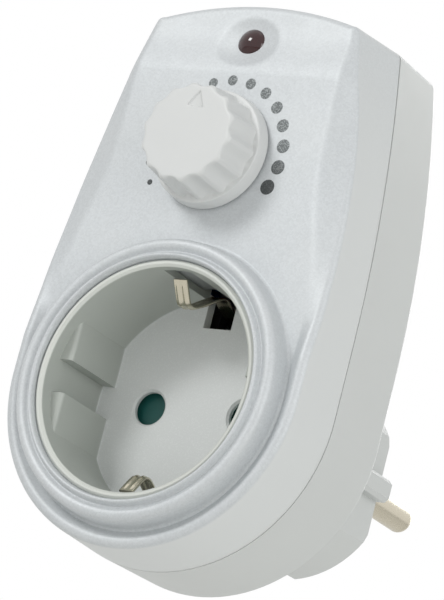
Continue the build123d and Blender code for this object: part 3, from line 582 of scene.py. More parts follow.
class Workshop:
    """Makes meshes from rows of points, gives them a finish and sets them on their body."""

    def __init__(self, frame: dict) -> None:
        """Keep the frame and make each finish once."""
        self.frame = frame
        self.materials = {slot.name: slot.value.material() for slot in Slot}

    def grid(self, name: str, rows: np.ndarray) -> bpy.types.Object:
        """Quad mesh over a grid of points whose last column joins the first.

        Args:
            name: name of the object and its mesh.
            rows: array of rows, columns and three coordinates in millimetres.

        Returns:
            The new object, with doubled points merged.
        """
        count_rows, count_columns = rows.shape[:2]
        faces = []
        for row in range(count_rows - 1):
            low, high = row * count_columns, (row + 1) * count_columns
            for column in range(count_columns):
                after = (column + 1) % count_columns
                faces.append((low + column, low + after, high + after, high + column))
        mesh = bpy.data.meshes.new(name)
        mesh.from_pydata((rows.reshape(-1, 3) * MM).tolist(), [], faces)
        work = bmesh.new()
        work.from_mesh(mesh)
        bmesh.ops.remove_doubles(work, verts=work.verts, dist=MERGE_REACH * MM)
        bmesh.ops.recalc_face_normals(work, faces=work.faces)
        return self.placed(name, mesh, work)

    def placed(self, name: str, mesh: bpy.types.Mesh, work: bmesh.types.BMesh) -> bpy.types.Object:
        """Write the worked mesh back and put it in the scene as a new object.

        Args:
            name: name of the object.
            mesh: the mesh that takes the work.
            work: the worked mesh, freed here.

        Returns:
            The new object.
        """
        work.to_mesh(mesh)
        work.free()
        thing = bpy.data.objects.new(name, mesh)
        bpy.context.scene.collection.objects.link(thing)
        return thing

    def finish(
        self, thing: bpy.types.Object, slot: Slot, body: str, nodes: Sequence[str] = (),
        sharp_deg: float = 38.0, material: bpy.types.Material | None = None,
    ) -> bpy.types.Object:
        """Shade, dress and mount a new piece.

        Args:
            thing: the piece.
            slot: the record's material slot.
            body: the body that it rides on.
            nodes: the CAD nodes that it stands for.
            sharp_deg: edges above this angle stay sharp.
            material: another material than the slot's own.

        Returns:
            The piece.
        """
        mesh = thing.data
        mesh.polygons.foreach_set("use_smooth", [True] * len(mesh.polygons))
        mesh.set_sharp_from_angle(angle=math.radians(sharp_deg))
        mesh.materials.clear()
        mesh.materials.append(material or self.materials[slot.name])
        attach(thing, body)
        if nodes:
            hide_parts(*nodes)
        LOG.info("%s: %d faces on %s", thing.name, len(mesh.polygons), body)
        return thing

    def dress_frame(self) -> None:
        """Give every carried-over CAD node the material of its slot."""
        parts = self.frame["record"]["subparts"]
        slots = {part["node"]: part["material_slot"] for part in parts}
        for name, node in self.frame["nodes"].items():
            node.data.materials.clear()
            node.data.materials.append(self.materials[slots[name]])
            LOG.info("%s: %s", name, slots[name])


def turned(
    profile: Sequence[tuple[float, float]], angles: np.ndarray, height: float = 0.0
) -> np.ndarray:
    """Grid of a turned form.

    Args:
        profile: (radius, depth) points.
        angles: angles about the axis, in radians.
        height: height of the axis.

    Returns:
        Rows of points, one row for each point of the profile.
    """
    radius, depth = np.array(profile, float).T
    x = radius[:, None] * np.cos(angles)
    z = radius[:, None] * np.sin(angles) + height
    return np.stack([x, np.broadcast_to(depth[:, None], x.shape), z], -1)


def smooth_curve(points: Sequence[tuple[float, float]], steps: int) -> np.ndarray:
    """Curve through points, rounded between them.

    Args:
        points: points in a plane.
        steps: divisions of each span.

    Returns:
        The curve's points, both ends included.
    """
    known = np.array(points, float)
    padded = np.vstack([2 * known[0] - known[1], known, 2 * known[-1] - known[-2]])
    share = np.linspace(0, 1, steps, endpoint=False)[:, None]
    spans = []
    for a, b, c, d in zip(padded, padded[1:], padded[2:], padded[3:]):
        spans.append(
            0.5 * (2 * b + (c - a) * share + (2 * a - 5 * b + 4 * c - d) * share**2
                   + (3 * b - a - 3 * c + d) * share**3)
        )
    return np.vstack(spans + [known[-1:]])


@dataclass
class CasingOutline:
    """Outline of the casing at one depth: round below, bowed flanks and an arched top."""

    radius: float
    bow_start: float
    bow: float
    top: float
    arch: float
    corner: float = 1.5
    # Points on the round, the flank's bow, the corner and the arch, and on the flank's straight run
    arc_steps: tuple[int, int, int, int] = (400, 300, 120, 200)
    straight_steps: int = 200

    def half(self) -> np.ndarray:
        """Right half of the outline.

        Returns:
            Dense (x, z) points from the bottom to the top.
        """
        flank_x = self.radius - self.bow
        crown_z = self.top - self.arch
        flank, crown = self.bow - self.corner, self.arch - self.corner
        span = math.hypot(flank_x, self.bow_start - crown_z)
        opening = math.acos((flank**2 + span**2 - crown**2) / (2 * flank * span))
        turn = math.atan2(crown_z - self.bow_start, -flank_x) + opening
        centre = (flank_x + flank * math.cos(turn), self.bow_start + flank * math.sin(turn))
        crown_turn = math.atan2(centre[1] - crown_z, centre[0])
        arcs = (
            ((0.0, 0.0), self.radius, -math.pi / 2, 0.0),
            ((flank_x, self.bow_start), self.bow, 0.0, turn),
            (centre, self.corner, turn, crown_turn),
            ((0.0, crown_z), self.arch, crown_turn, math.pi / 2),
        )
        runs = []
        for (middle, radius, start, end), count in zip(arcs, self.arc_steps):
            angle = np.linspace(start, end, count)
            runs.append(np.array(middle) + radius * np.stack([np.cos(angle), np.sin(angle)], -1))
        # The flank runs straight from the level of the axis to the start of its bow
        rise = np.linspace(0, self.bow_start, self.straight_steps)[1:-1]
        runs.insert(1, np.stack([np.full_like(rise, self.radius), rise], -1))
        return np.vstack(runs)

    def corner_bearing(self) -> float:
        """Direction of the right-hand corner's middle, seen from the socket's axis.

        Returns:
            The direction in radians.
        """
        points = self.half()
        corner_steps, crown_steps = self.arc_steps[2:]
        x, z = points[len(points) - crown_steps - corner_steps // 2]
        return math.atan2(z, x)

    def led(self, angles: np.ndarray, shared_corner: float) -> np.ndarray:
        """Directions moved so that the shared corner's direction lands on this outline's corner.

        Args:
            angles: directions from straight down round the right side.
            shared_corner: direction that stands for the corner in angles.

        Returns:
            Directions for this outline.
        """
        right = np.cos(angles) >= 0
        folded = np.where(right, angles, math.pi - angles)
        folded = (folded + math.pi) % (2 * math.pi) - math.pi
        known = (-math.pi / 2, 0.0, shared_corner, math.pi / 2)
        own = (-math.pi / 2, 0.0, self.corner_bearing(), math.pi / 2)
        moved = np.interp(folded, known, own)
        return np.where(right, moved, math.pi - moved)

    def at(self, angles: np.ndarray) -> np.ndarray:
        """Points of the outline in the directions given, seen from the socket's axis.

        Args:
            angles: directions from straight down round the right side.

        Returns:
            The (x, z) points.
        """
        points = self.half()
        bearing = np.arctan2(points[:, 1], points[:, 0])
        folded = np.where(np.cos(angles) >= 0, angles, math.pi - angles)
        folded = (folded + math.pi) % (2 * math.pi) - math.pi
        reach = np.interp(folded, bearing, np.hypot(points[:, 0], points[:, 1]))
        return np.stack([reach * np.cos(angles), reach * np.sin(angles)], -1)

    def half_width(self, height: np.ndarray) -> np.ndarray:
        """Half width of the outline at each height."""
        rise = np.maximum(height - self.bow_start, 0)
        return self.radius - self.bow + np.sqrt(self.bow**2 - rise**2)


@dataclass
class FrontCover:
    """Painted front shell: collar with its beads, bent panel, falling flanks and rounded edge."""

    workshop: Workshop
    front: CasingOutline = field(
        default_factory=lambda: CasingOutline(28.55, 8.0, 166.0, 69.37, 80.0)
    )
    back: CasingOutline = field(
        default_factory=lambda: CasingOutline(28.98, 13.3, 285.0, 69.8, 64.0)
    )
    panel_bend: float = 2.2
    flank_drop: float = 2.7
    # The fold between panel and flank: sharp beside the collar and softer above it
    fold_width: float = 25.1
    fold_softness: float = 0.9
    fold_sharpness: float = 0.3
    sharp_below: float = 14.0
    least_flank: float = 0.5
    edge_rounding: float = 1.3
    longest_run: float = 2.3
    edge_steps: int = 9
    bore: float = 21.2
    crease_radius: float = 25.6
    # The collar's foot follows the panel from this depth behind the lip, over this length
    foot_start: float = 2.0
    foot_length: float = 2.2
    dish_height: float = LENS_HEIGHT
    dish_half_width: float = 5.9
    dish_half_height: float = 4.0
    dish_depth: float = 0.85
    dish_tilt: float = 10.0
    dish_panel_bend: float = 1.4
    dish_blend: float = 0.12
    shaft_hole: float = 4.15
    # Points this near the hole's edge move onto it, and faces no farther out than this are cut
    hole_snap: float = 0.2
    hole_slack: float = 0.02
    wall: float = 1.6
    parting_chamfer: float = 0.25
    side_shares: tuple[float, ...] = (0.3, 0.65, 0.93, 1.0)
    face_rows: int = 110
    collar_steps: int = 4
    table_steps: int = 12
    corner_passes: int = 4
    # How far inside the edge the face's slope is taken
    slope_reach: float = 0.4
    # A place on the panel, to the right and up, whose face has to look to the front
    panel_sample: tuple[float, float] = (15.0, 45.0)
    # Directions from, to, and how many; closer together at the top corners and the dish
    angle_spans: tuple[tuple[int, int, int], ...] = (
        (-90, 60, 150), (60, 70, 14), (70, 78, 24), (78, 102, 72), (102, 110, 24),
        (110, 120, 14), (120, 270, 150),
    )
    # Height as a share of the top, fold as a share of its width, fall of the edge as a share of
    # the flank's drop, and share of the panel's bend
    face_shares: tuple[tuple[float, ...], ...] = (
        (0.0, 1.0, -0.92, 0.0), (0.058, 1.002, -0.89, 0.0), (0.115, 1.008, -0.8, 0.0),
        (0.2, 1.012, -0.13, 0.0), (0.286, 0.996, 0.24, 0.0), (0.4, 0.936, 0.63, 0.0),
        (0.487, 0.873, 0.78, 0.0), (0.602, 0.833, 0.96, 0.0), (0.716, 0.829, 1.0, 0.0),
        (0.81, 0.827, 0.9, 0.0), (0.917, 0.805, 0.4, 0.76), (1.032, 0.76, 0.12, 1.0),
    )
    # Collar from the bore over both beads to the foot of its wall: radius, and depth behind the lip
    collar: tuple[tuple[float, float], ...] = (
        (21.2, 0.9), (21.2, 0.2), (21.26, -0.35), (21.45, -0.75), (21.72, -0.88), (22.0, -0.66),
        (22.22, -0.12), (22.45, 0.16), (22.75, 0.05), (23.2, -0.28), (23.7, -0.4), (24.2, -0.3),
        (24.6, 0.02), (24.84, 0.55), (24.96, 1.4), (25.04, 2.5), (25.1, 3.4), (25.22, 3.9),
    )

    def rows_at(
        self, height: np.ndarray
    ) -> tuple[np.ndarray, np.ndarray, np.ndarray, np.ndarray]:
        """Fold, panel depth, edge fall and edge half width at each height.

        Args:
            height: heights above the socket's axis.

        Returns:
            Half width of the fold, depth of the panel, fall of the edge behind it, and half width
            of the casing where the edge lies.
        """
        table = np.array(self.face_shares)
        folds, falls, bends = (
            smooth_curve([(row[0], row[column]) for row in table], self.table_steps)
            for column in (1, 2, 3)
        )
        share = np.clip(height / self.back.top, 0, table[-1, 0])
        fold = np.interp(share, folds[:, 0], folds[:, 1]) * self.fold_width
        bend = np.maximum(np.interp(share, bends[:, 0], bends[:, 1]), 0) * self.panel_bend
        panel = PANEL + bend
        fall = np.interp(share, falls[:, 0], falls[:, 1]) * self.flank_drop
        width = self.front.half_width(height)
        lean = (self.back.half_width(height) - width) / (PARTING - COVER_FRONT)
        return fold, panel, fall, width + lean * (panel + fall - COVER_FRONT)

    def face(self, x: np.ndarray, z: np.ndarray, bare: bool = False) -> np.ndarray:
        """Depth of the face in front of each (x, z).

        Args:
            x: places to the right.
            z: heights.
            bare: leave out the dish.

        Returns:
            Depths along Y.
        """
        reach = np.where(z < 0, np.hypot(x, z), np.abs(x))
        fold, panel, fall, edge = self.rows_at(np.maximum(z, 0))
        soft = np.where(z < self.sharp_below, self.fold_sharpness, self.fold_softness)
        beyond = reach - fold
        rounded = np.where(beyond > soft, beyond, (beyond + soft) ** 2 / (4 * soft))
        ramp = np.where(beyond < -soft, 0, rounded)
        depth = panel + fall * ramp / np.maximum(edge - fold, self.least_flank)
        if bare:
            return depth
        rise = z - self.dish_height
        plane = PANEL + self.dish_panel_bend + rise * math.tan(math.radians(self.dish_tilt))
        reach_share = (x / self.dish_half_width) ** 2 + (rise / self.dish_half_height) ** 2
        under = plane + self.dish_depth * (1 - reach_share)
        gap = np.clip((under - depth) / self.dish_blend, -1, 1)
        return np.where(gap >= 1, under, depth + self.dish_blend * (gap + 1) ** 2 / 4)

    def outline(self, angles: np.ndarray, depth: np.ndarray) -> np.ndarray:
        """Points of the casing's side at each angle and depth.

        Args:
            angles: directions from straight down round the right side.
            depth: depth along Y in each direction.

        Returns:
            The (x, z) points.
        """
        share = ((depth - COVER_FRONT) / (PARTING - COVER_FRONT))[..., None]
        corner = (self.front.corner_bearing() + self.back.corner_bearing()) / 2
        front = self.front.at(self.front.led(angles, corner))
        back = self.back.at(self.back.led(angles, corner))
        return front * (1 - share) + back * share

    def angles(self) -> np.ndarray:
        """Directions round the socket's axis, in radians."""
        spans = self.angle_spans
        steps = [np.linspace(low, high, count, endpoint=False) for low, high, count in spans]
        return np.radians(np.concatenate(steps))

    def collar_grid(self, angles: np.ndarray) -> list[np.ndarray]:
        """Rows of points from the bore over the collar to its foot.

        Args:
            angles: directions round the socket's axis.

        Returns:
            The rows, from the parting line forwards and then outwards.
        """
        cos, sin = np.cos(angles), np.sin(angles)
        foot = self.face(cos * self.crease_radius, sin * self.crease_radius, bare=True)
        rows = [np.stack([self.bore * cos, np.full_like(cos, PARTING), self.bore * sin], -1)]
        for radius, behind in smooth_curve(self.collar, self.collar_steps):
            follow = min(max((behind - self.foot_start) / self.foot_length, 0), 1)
            depth = LIP + behind + follow * (foot - PANEL)
            rows.append(np.stack([radius * cos, depth, radius * sin], -1))
        return rows

    def grid(self) -> np.ndarray:
        """Points from the collar's bore over the face and its edge to the parting line.

        Returns:
            Rows of points in millimetres.
        """
        angles = self.angles()
        crease = np.stack([np.cos(angles), np.sin(angles)], -1) * self.crease_radius
        rows = self.collar_grid(angles)
        # The virtual corner where face and side would meet without a rounding
        depth = np.full_like(angles, PANEL)
        for _ in range(self.corner_passes):
            corner = self.outline(angles, depth)
            depth = self.face(corner[:, 0], corner[:, 1], bare=True)
        along = np.roll(corner, -1, 0) - np.roll(corner, 1, 0)
        normal = np.stack([along[:, 1], -along[:, 0]], -1)
        normal /= np.linalg.norm(along, axis=1)[:, None]
        probe = corner - self.slope_reach * normal
        probed = self.face(probe[:, 0], probe[:, 1], bare=True)
        slope = (depth - probed) / self.slope_reach
        lean = ((self.outline(angles, depth + 1) - corner) * normal).sum(1)
        start_turn, end_turn = np.arctan2(slope, 1), np.arctan2(1, lean)
        half = (end_turn - start_turn) / 2
        run = np.minimum(self.edge_rounding * np.tan(half), self.longest_run)
        radius = run / np.tan(half)
        inner = corner - (np.cos(start_turn) * run)[:, None] * normal
        for share in np.linspace(0, 1, self.face_rows):
            flat = crease * (1 - share) + inner * share
            rows.append(np.stack([flat[:, 0], self.face(flat[:, 0], flat[:, 1]), flat[:, 1]], -1))
        middle_n = -np.cos(start_turn) * run - radius * np.sin(start_turn)
        middle_y = depth - np.sin(start_turn) * run + radius * np.cos(start_turn)
        for share in np.linspace(0, 1, self.edge_steps)[1:]:
            turn = start_turn + (end_turn - start_turn) * share
            out = middle_n + radius * np.sin(turn)
            flat = corner + out[:, None] * normal
            rows.append(np.stack([flat[:, 0], middle_y - radius * np.cos(turn), flat[:, 1]], -1))
        edge = rows[-1][:, 1]
        chamfer = self.parting_chamfer
        levels = [(share, PARTING - chamfer, 0.0) for share in self.side_shares]
        for share, last, inset in levels + [(1.0, PARTING, chamfer)]:
            level = edge + (last - edge) * share
            flat = self.outline(angles, level) - inset * normal
            rows.append(np.stack([flat[:, 0], level, flat[:, 1]], -1))
        return np.array(rows)

    def build(self) -> bpy.types.Object:
        """Make the cover, open at the shaft's hole, with its wall thickness.

        Returns:
            The piece.
        """
        thing = self.workshop.grid("front_cover_shell", self.grid())
        work = bmesh.new()
        work.from_mesh(thing.data)
        hole, height = self.shaft_hole * MM, KNOB_HEIGHT * MM
        for vert in work.verts:
            reach = math.hypot(vert.co.x, vert.co.z - height)
            if abs(reach - hole) < self.hole_snap * MM:
                vert.co.x *= hole / reach
                vert.co.z = height + (vert.co.z - height) * hole / reach
        limit = hole + self.hole_slack * MM
        inside = [
            face for face in work.faces
            if all(math.hypot(v.co.x, v.co.z - height) < limit for v in face.verts)
        ]
        bmesh.ops.delete(work, geom=inside, context="FACES")
        sample = Vector((self.panel_sample[0], PANEL, self.panel_sample[1])) * MM
        nearest = min(work.faces, key=lambda face: (face.calc_center_median() - sample).length)
        if nearest.normal.y > 0:
            bmesh.ops.reverse_faces(work, faces=work.faces)
        work.to_mesh(thing.data)
        work.free()
        solid = thing.modifiers.new("wall", "SOLIDIFY")
        solid.thickness = self.wall * MM
        solid.offset = -1.0
        return self.workshop.finish(
            thing, Slot.silver_paint, "casing", ["front_cover"], sharp_deg=50
        )


@dataclass
class DotScale:
    """Printed dots round the knob that grow clockwise."""

    workshop: Workshop
    radius: float = 13.1
    count: int = 15
    step: float = 16.6
    turn: float = -1.3
    smallest: float = 0.5
    largest: float = 1.35
    ink: float = 0.03
    rim_steps: int = 36
    # Share of the dot's radius, and depth from the panel in ink thicknesses, from its back forwards
    section: tuple[tuple[float, float], ...] = (
        (1.0, 2 / 3), (1.0, -0.6), (0.94, -1.0), (0.5, -1.0),
    )

    def build(self) -> bpy.types.Object:
        """Make all dots as thin domed discs in one piece.

        Returns:
            The piece.
        """
        work = bmesh.new()
        ring = np.linspace(0, 2 * math.pi, self.rim_steps, endpoint=False)
        for index in range(self.count):
            turn = math.radians(self.turn + (index - (self.count - 1) / 2) * self.step)
            size = self.smallest + (self.largest - self.smallest) * index / (self.count - 1)
            x, z = self.radius * math.sin(turn), KNOB_HEIGHT + self.radius * math.cos(turn)
            loops = []
            for share, thickness in self.section:
                reach, depth = size * share, PANEL + thickness * self.ink
                places = [(x + reach * math.cos(a), depth, z + reach * math.sin(a)) for a in ring]
                loops.append([work.verts.new(Vector(place) * MM) for place in places])
            for low, high in zip(loops, loops[1:]):
                for at in range(len(ring)):
                    work.faces.new((low[at], low[at - 1], high[at - 1], high[at]))
            work.faces.new(loops[-1])
            work.faces.new(list(reversed(loops[0])))
        bmesh.ops.recalc_face_normals(work, faces=work.faces)
        thing = self.workshop.placed("scale_dots", bpy.data.meshes.new("scale_dots"), work)
        return self.workshop.finish(
            thing, Slot.black_plastic, "casing", material=SCALE_INK.material()
        )


@dataclass
class Knob:
    """Hollow fluted knob with a skirt and a sunk triangular pointer."""

    workshop: Workshop
    face: float = LIP - 5.85
    shoulder: float = LIP + 1.05
    back: float = PANEL - 0.4
    face_radius: float = 8.1
    side_radius: float = 8.95
    shoulder_radius: float = 9.6
    skirt_radius: float = 10.38
    face_edge: float = 0.4
    rim: float = 0.75
    rim_flute_share: float = 0.25
    shoulder_rounding: float = 0.12
    shoulder_flare: float = 0.04
    shoulder_flute_share: float = 0.9
    # Rounded top of the skirt: radius, and depth behind the shoulder
    skirt_top: tuple[tuple[float, float], ...] = ((10.0, 0.0), (10.14, 0.05), (10.2, 0.2))
    # Rounded foot of the skirt: distance inside its radius, and before its back
    skirt_foot: tuple[tuple[float, float], ...] = ((0.0, 0.3), (0.0, 0.1), (0.1, 0.0))
    inner_radius: float = 7.6
    face_thickness: float = 2.0
    hub_radius: float = 4.6
    hub_back: float = PANEL - 2.3
    bore_radius: float = 3.05
    bore_end: float = LIP - 2.55
    flutes: int = 14
    bite: float = 0.65
    flute_share: float = 0.42
    flute_steepness: float = 1.25
    pointer_tip: float = 7.4
    pointer_base: float = 4.6
    pointer_half_width: float = 1.6
    pointer_depth: float = 0.28
    pointer_softness: float = 0.16
    face_rings: int = 62
    side_rings: int = 14
    columns_per_flute: int = 26

    def profile(self) -> list[tuple[float, float, float]]:
        """Section of the knob from the face's middle round to the hub.

        Returns:
            Radius, depth and share of the flute at each ring.
        """
        reach = self.face_radius - self.face_edge
        rings = [(radius, self.face, 0.0) for radius in np.linspace(0, reach, self.face_rings)]
        for turn in np.radians(np.arange(0, 91, 10)):
            radius = self.side_radius - self.rim * (1 - math.sin(turn))
            depth = self.face + self.rim * (1 - math.cos(turn))
            bitten = self.rim_flute_share + (1 - self.rim_flute_share) * math.sin(turn)
            rings.append((radius, depth, bitten))
        top, foot = self.face + self.rim, self.shoulder - self.shoulder_rounding
        for share in np.linspace(0, 1, self.side_rings)[1:]:
            radius = self.side_radius + (self.shoulder_radius - self.side_radius) * share
            rings.append((radius, top + (foot - top) * share, 1.0))
        flare = self.shoulder_radius + self.shoulder_flare
        rings.append((flare, self.shoulder, self.shoulder_flute_share))
        rings += [(radius, self.shoulder + behind, 0.0) for radius, behind in self.skirt_top]
        rings += [
            (self.skirt_radius - inside, self.back - before, 0.0)
            for inside, before in self.skirt_foot
        ]
        inner = self.face + self.face_thickness
        return rings + [
            (self.inner_radius, self.back, 0.0), (self.inner_radius, inner, 0.0),
            (self.hub_radius, inner, 0.0), (self.hub_radius, self.hub_back, 0.0),
            (self.bore_radius, self.hub_back, 0.0), (self.bore_radius, self.bore_end, 0.0),
            (0.0, self.bore_end, 0.0),
        ]

    def sink_pointer(self, face: np.ndarray) -> None:
        """Sink the triangle into the rows of the face.

        Args:
            face: the face's rows of points about the knob's axis, changed in place.
        """
        turn = math.radians(POINTER_ANGLE)
        along = face[..., 0] * math.sin(turn) + face[..., 2] * math.cos(turn)
        across = np.abs(face[..., 0] * math.cos(turn) - face[..., 2] * math.sin(turn))
        rise = self.pointer_tip - self.pointer_base
        length = math.hypot(rise, self.pointer_half_width)
        flank = (self.pointer_tip - along) * self.pointer_half_width / length
        inside = np.minimum(along - self.pointer_base, flank - across * rise / length)
        sunk = np.clip(inside / self.pointer_softness + 0.5, 0, 1)
        face[..., 1] += self.pointer_depth * sunk * sunk * (3 - 2 * sunk)

    def build(self) -> bpy.types.Object:
        """Make the knob.

        Returns:
            The piece.
        """
        columns = self.flutes * self.columns_per_flute
        angles = np.linspace(0, 2 * math.pi, columns, endpoint=False)
        clockwise = math.pi / 2 - angles - math.radians(POINTER_ANGLE)
        phase = (clockwise * self.flutes / (2 * math.pi) + 0.5) % 1 - 0.5
        scallop = np.clip(1 - (phase / self.flute_share) ** 2, 0, 1) ** self.flute_steepness
        rows = []
        for radius, depth, share in self.profile():
            reach = radius - self.bite * scallop * share
            level = np.full_like(angles, depth)
            rows.append(np.stack([reach * np.cos(angles), level, reach * np.sin(angles)], -1))
        grid = np.array(rows)
        self.sink_pointer(grid[:self.face_rings])
        grid[..., 2] += KNOB_HEIGHT
        thing = self.workshop.grid("dimmer_knob", grid)
        return self.workshop.finish(thing, Slot.grey_knob, "knob", ["knob"], sharp_deg=50)


@dataclass
class IndicatorLens:
    """Small domed lens in the middle of the dish."""

    workshop: Workshop
    height: float = LENS_HEIGHT
    radius: float = 2.65
    seat: float = PANEL + 2.25
    dome: float = 1.3
    dome_edge: float = 0.06
    rim: float = 0.1
    shank: float = 2.15
    flange_radius: float = 3.5
    flange: float = 0.8
    dome_rings: int = 18
    columns: int = 72

    def build(self) -> bpy.types.Object:
        """Make the lens with its shank behind the panel.

        Returns:
            The piece.
        """
        ball = (self.radius**2 + self.dome**2) / (2 * self.dome)
        crown = self.seat - self.dome
        angles = np.linspace(0, 2 * math.pi, self.columns, endpoint=False)
        rings = [(0.0, crown)]
        for radius in np.linspace(0, self.radius - self.dome_edge, self.dome_rings)[1:]:
            rings.append((radius, crown + ball - math.sqrt(ball**2 - radius**2)))
        foot = self.seat + self.shank
        rings += [(self.radius, self.seat + self.rim), (self.radius, foot)]
        rings += [(self.flange_radius, foot), (self.flange_radius, foot + self.flange)]
        rings.append((0.0, foot + self.flange))
        thing = self.workshop.grid("red_lens_cap", turned(rings, angles, self.height))
        return self.workshop.finish(thing, Slot.red_lens, "casing", ["indicator_lens"])


class Side(Enum):
    """Which of the two earth clips."""

    upper = 1
    lower = -1


@dataclass
class EarthClip:
    """Sprung leaf with two pressed ribs and a curled end."""

    workshop: Workshop
    side: Side
    half_width: float = 1.4
    thickness: float = 0.5
    rib_height: float = 0.18
    rib_place: float = 0.62
    rib_width: float = 0.36
    # Shares of the length over which the ribs rise and end, as start and length
    rib_rise: tuple[float, float] = (0.35, 0.1)
    rib_end: tuple[float, float] = (0.97, 0.06)
    # Share of the half width from which the edge is rounded, and its least thickness, squared
    rounded_from: float = 0.88
    least_edge: float = 0.05
    columns: int = 29
    path_steps: int = 8
    # Distance behind the lip and height, from the root to the curled end
    path: tuple[tuple[float, float], ...] = (
        (24.9, 16.42), (21.5, 17.87), (18.4, 19.2), (16.3, 19.8), (14.0, 18.7), (10.8, 16.8),
        (8.6, 15.62), (7.4, 15.24), (6.3, 15.45), (5.3, 16.5), (4.4, 17.6), (3.5, 18.75),
    )

    def section(self) -> tuple[np.ndarray, np.ndarray, np.ndarray]:
        """Cross section of the leaf.

        Returns:
            Places across as shares of the half width, the half thickness at each, and the ribs.
        """
        across = np.linspace(-1, 1, self.columns)
        ribs = sum(
            np.exp(-(((across * self.half_width - place) / self.rib_width) ** 2) * 2)
            for place in (-self.rib_place, self.rib_place)
        ) * self.rib_height
        past = np.clip((np.abs(across) - self.rounded_from) / (1 - self.rounded_from), 0, 1)
        return across, self.thickness / 2 * np.sqrt(np.clip(1 - past**2, self.least_edge, 1)), ribs

    def build(self) -> bpy.types.Object:
        """Make the leaf as a closed strip along its path.

        Returns:
            The piece.
        """
        path = smooth_curve(self.path, self.path_steps)
        tangent = np.gradient(path, axis=0)
        tangent /= np.linalg.norm(tangent, axis=1)[:, None]
        normal = np.stack([tangent[:, 1], -tangent[:, 0]], -1)
        normal *= np.sign(-normal[:, 1:2])
        across, edge, ribs = self.section()
        length = np.linspace(0, 1, len(path))
        ribbed = np.clip((length - self.rib_rise[0]) / self.rib_rise[1], 0, 1)
        ribbed *= np.clip((self.rib_end[0] - length) / self.rib_end[1], 0, 1)
        x = np.concatenate([across, across[::-1]]) * self.half_width
        rows = []
        for (behind, height), out, share in zip(path, normal, ribbed):
            lift = np.concatenate([edge + ribs * share, (-edge + ribs * share)[::-1]])
            rows.append(np.stack(
                [x, LIP + behind + out[0] * lift, self.side.value * (height + out[1] * lift)], -1
            ))
        grid = np.array(rows)
        caps = [np.broadcast_to(grid[end].mean(0), grid[end].shape)[None] for end in (0, -1)]
        grid = np.concatenate([caps[0], grid, caps[1]])
        body = f"{self.side.name}_earth_clip"
        thing = self.workshop.grid(f"{self.side.name}_clip_leaf", grid)
        return self.workshop.finish(thing, Slot.nickel_spring, body, [body], sharp_deg=60)


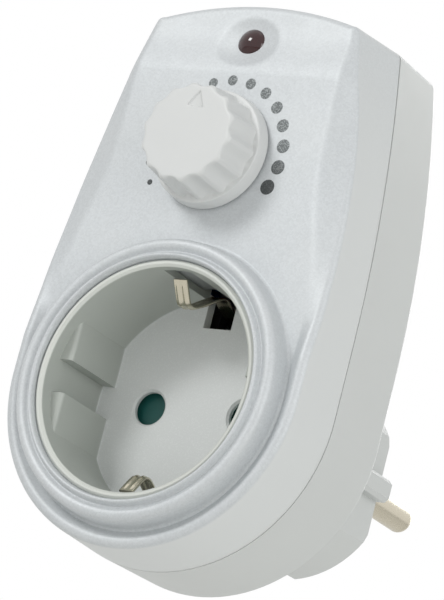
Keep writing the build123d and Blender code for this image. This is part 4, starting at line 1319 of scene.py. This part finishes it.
@dataclass
class Studio:
    """Floor, pale surroundings, soft lamps and the camera of the photograph; places in metres."""

    floor_level: float = -0.27
    floor_half: float = 1.6
    focal_px: float = 5337.46
    centre_px: tuple[float, float] = (225.58, 303.24)
    camera_place: tuple[float, float, float] = (0.490594, -0.765305, -0.205515)
    camera_turn_deg: tuple[float, float, float] = (104.84555, -13.84912, 30.37046)
    camera_reach: float = 10.0
    sensor: float = 36.0
    ambient: float = 0.52
    aim: tuple[float, float, float] = (0.0, -0.03, 0.02)
    # Name, place, size and watts of each soft box
    lamps: tuple[tuple[str, tuple[float, float, float], float, float], ...] = (
        ("key_box", (-0.45, -1.05, 0.66), 0.34, 5.2),
        ("fill_box", (0.95, -0.45, 0.1), 0.6, 3.2),
        ("top_box", (0.1, 0.1, 1.0), 0.7, 0.5),
        ("back_box", (-0.2, 1.2, 0.45), 0.6, 4.0),
    )

    def camera(self) -> None:
        """Set the camera as it stood for the photograph."""
        width, height = IMAGE_SIZE
        data = bpy.data.cameras.new("photo_camera")
        data.sensor_width = self.sensor
        data.lens = self.focal_px * self.sensor / height
        data.shift_x = (width / 2 - self.centre_px[0]) / height
        data.shift_y = (self.centre_px[1] - height / 2) / height
        data.clip_end = self.camera_reach
        camera = bpy.data.objects.new("photo_camera", data)
        camera.location = self.camera_place
        camera.rotation_euler = Euler([math.radians(turn) for turn in self.camera_turn_deg])
        bpy.context.scene.collection.objects.link(camera)
        bpy.context.scene.camera = camera

    def lamp(
        self, name: str, place: tuple[float, float, float], size: float, watts: float
    ) -> None:
        """Add one square soft box aimed at the object.

        Args:
            name: name of the lamp.
            place: where it stands.
            size: length of its side.
            watts: its power.
        """
        data = bpy.data.lights.new(name, "AREA")
        data.size = size
        data.energy = watts
        lamp = bpy.data.objects.new(name, data)
        lamp.location = place
        aim = Vector(self.aim) - Vector(place)
        lamp.rotation_euler = aim.to_track_quat("-Z", "Y").to_euler()
        bpy.context.scene.collection.objects.link(lamp)

    def world(self) -> None:
        """White for the camera and for reflections, and a level sky light for the rest."""
        world = bpy.data.worlds.new("studio")
        bpy.context.scene.world = world
        world.use_nodes = True
        tree = world.node_tree
        tree.nodes.clear()
        path = add_node(tree, "ShaderNodeLightPath").outputs
        through = add_node(
            tree, "ShaderNodeMath", {0: path["Is Glossy Ray"], 1: path["Is Transmission Ray"]},
            operation="MAXIMUM",
        )
        seen = add_node(
            tree, "ShaderNodeMath", {0: path["Is Camera Ray"], 1: through.outputs[0]},
            operation="MAXIMUM",
        )
        strength = add_node(
            tree, "ShaderNodeMapRange",
            {"Value": seen.outputs[0], "To Min": self.ambient, "To Max": 1.0},
        )
        sky = add_node(
            tree, "ShaderNodeBackground",
            {"Color": (1, 1, 1, 1), "Strength": strength.outputs["Result"]},
        )
        add_node(tree, "ShaderNodeOutputWorld", {"Surface": sky.outputs[0]})

    def floor(self) -> None:
        """Lay the pale floor under the object."""
        half, level = self.floor_half, self.floor_level
        corners = [(-half, -half), (half, -half), (half, half), (-half, half)]
        mesh = bpy.data.meshes.new("floor")
        mesh.from_pydata([(x, y, level) for x, y in corners], [], [(0, 1, 2, 3)])
        mesh.materials.append(FLOOR_PAPER.material())
        floor = bpy.data.objects.new("floor", mesh)
        bpy.context.scene.collection.objects.link(floor)

    def build(self) -> None:
        """Set up the whole studio."""
        bpy.context.scene.view_settings.view_transform = "Standard"
        self.floor()
        self.world()
        for lamp in self.lamps:
            self.lamp(*lamp)
        self.camera()


def main() -> None:
    """Load the frame, dress it, add the finer pieces and set up the studio."""
    logging.basicConfig(level=logging.INFO, format="%(name)s %(message)s")
    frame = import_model()
    workshop = Workshop(frame)
    workshop.dress_frame()
    FrontCover(workshop).build()
    DotScale(workshop).build()
    Knob(workshop).build()
    IndicatorLens(workshop).build()
    for side in Side:
        EarthClip(workshop, side).build()
    Studio().build()


if __name__ == "__main__":
    main()
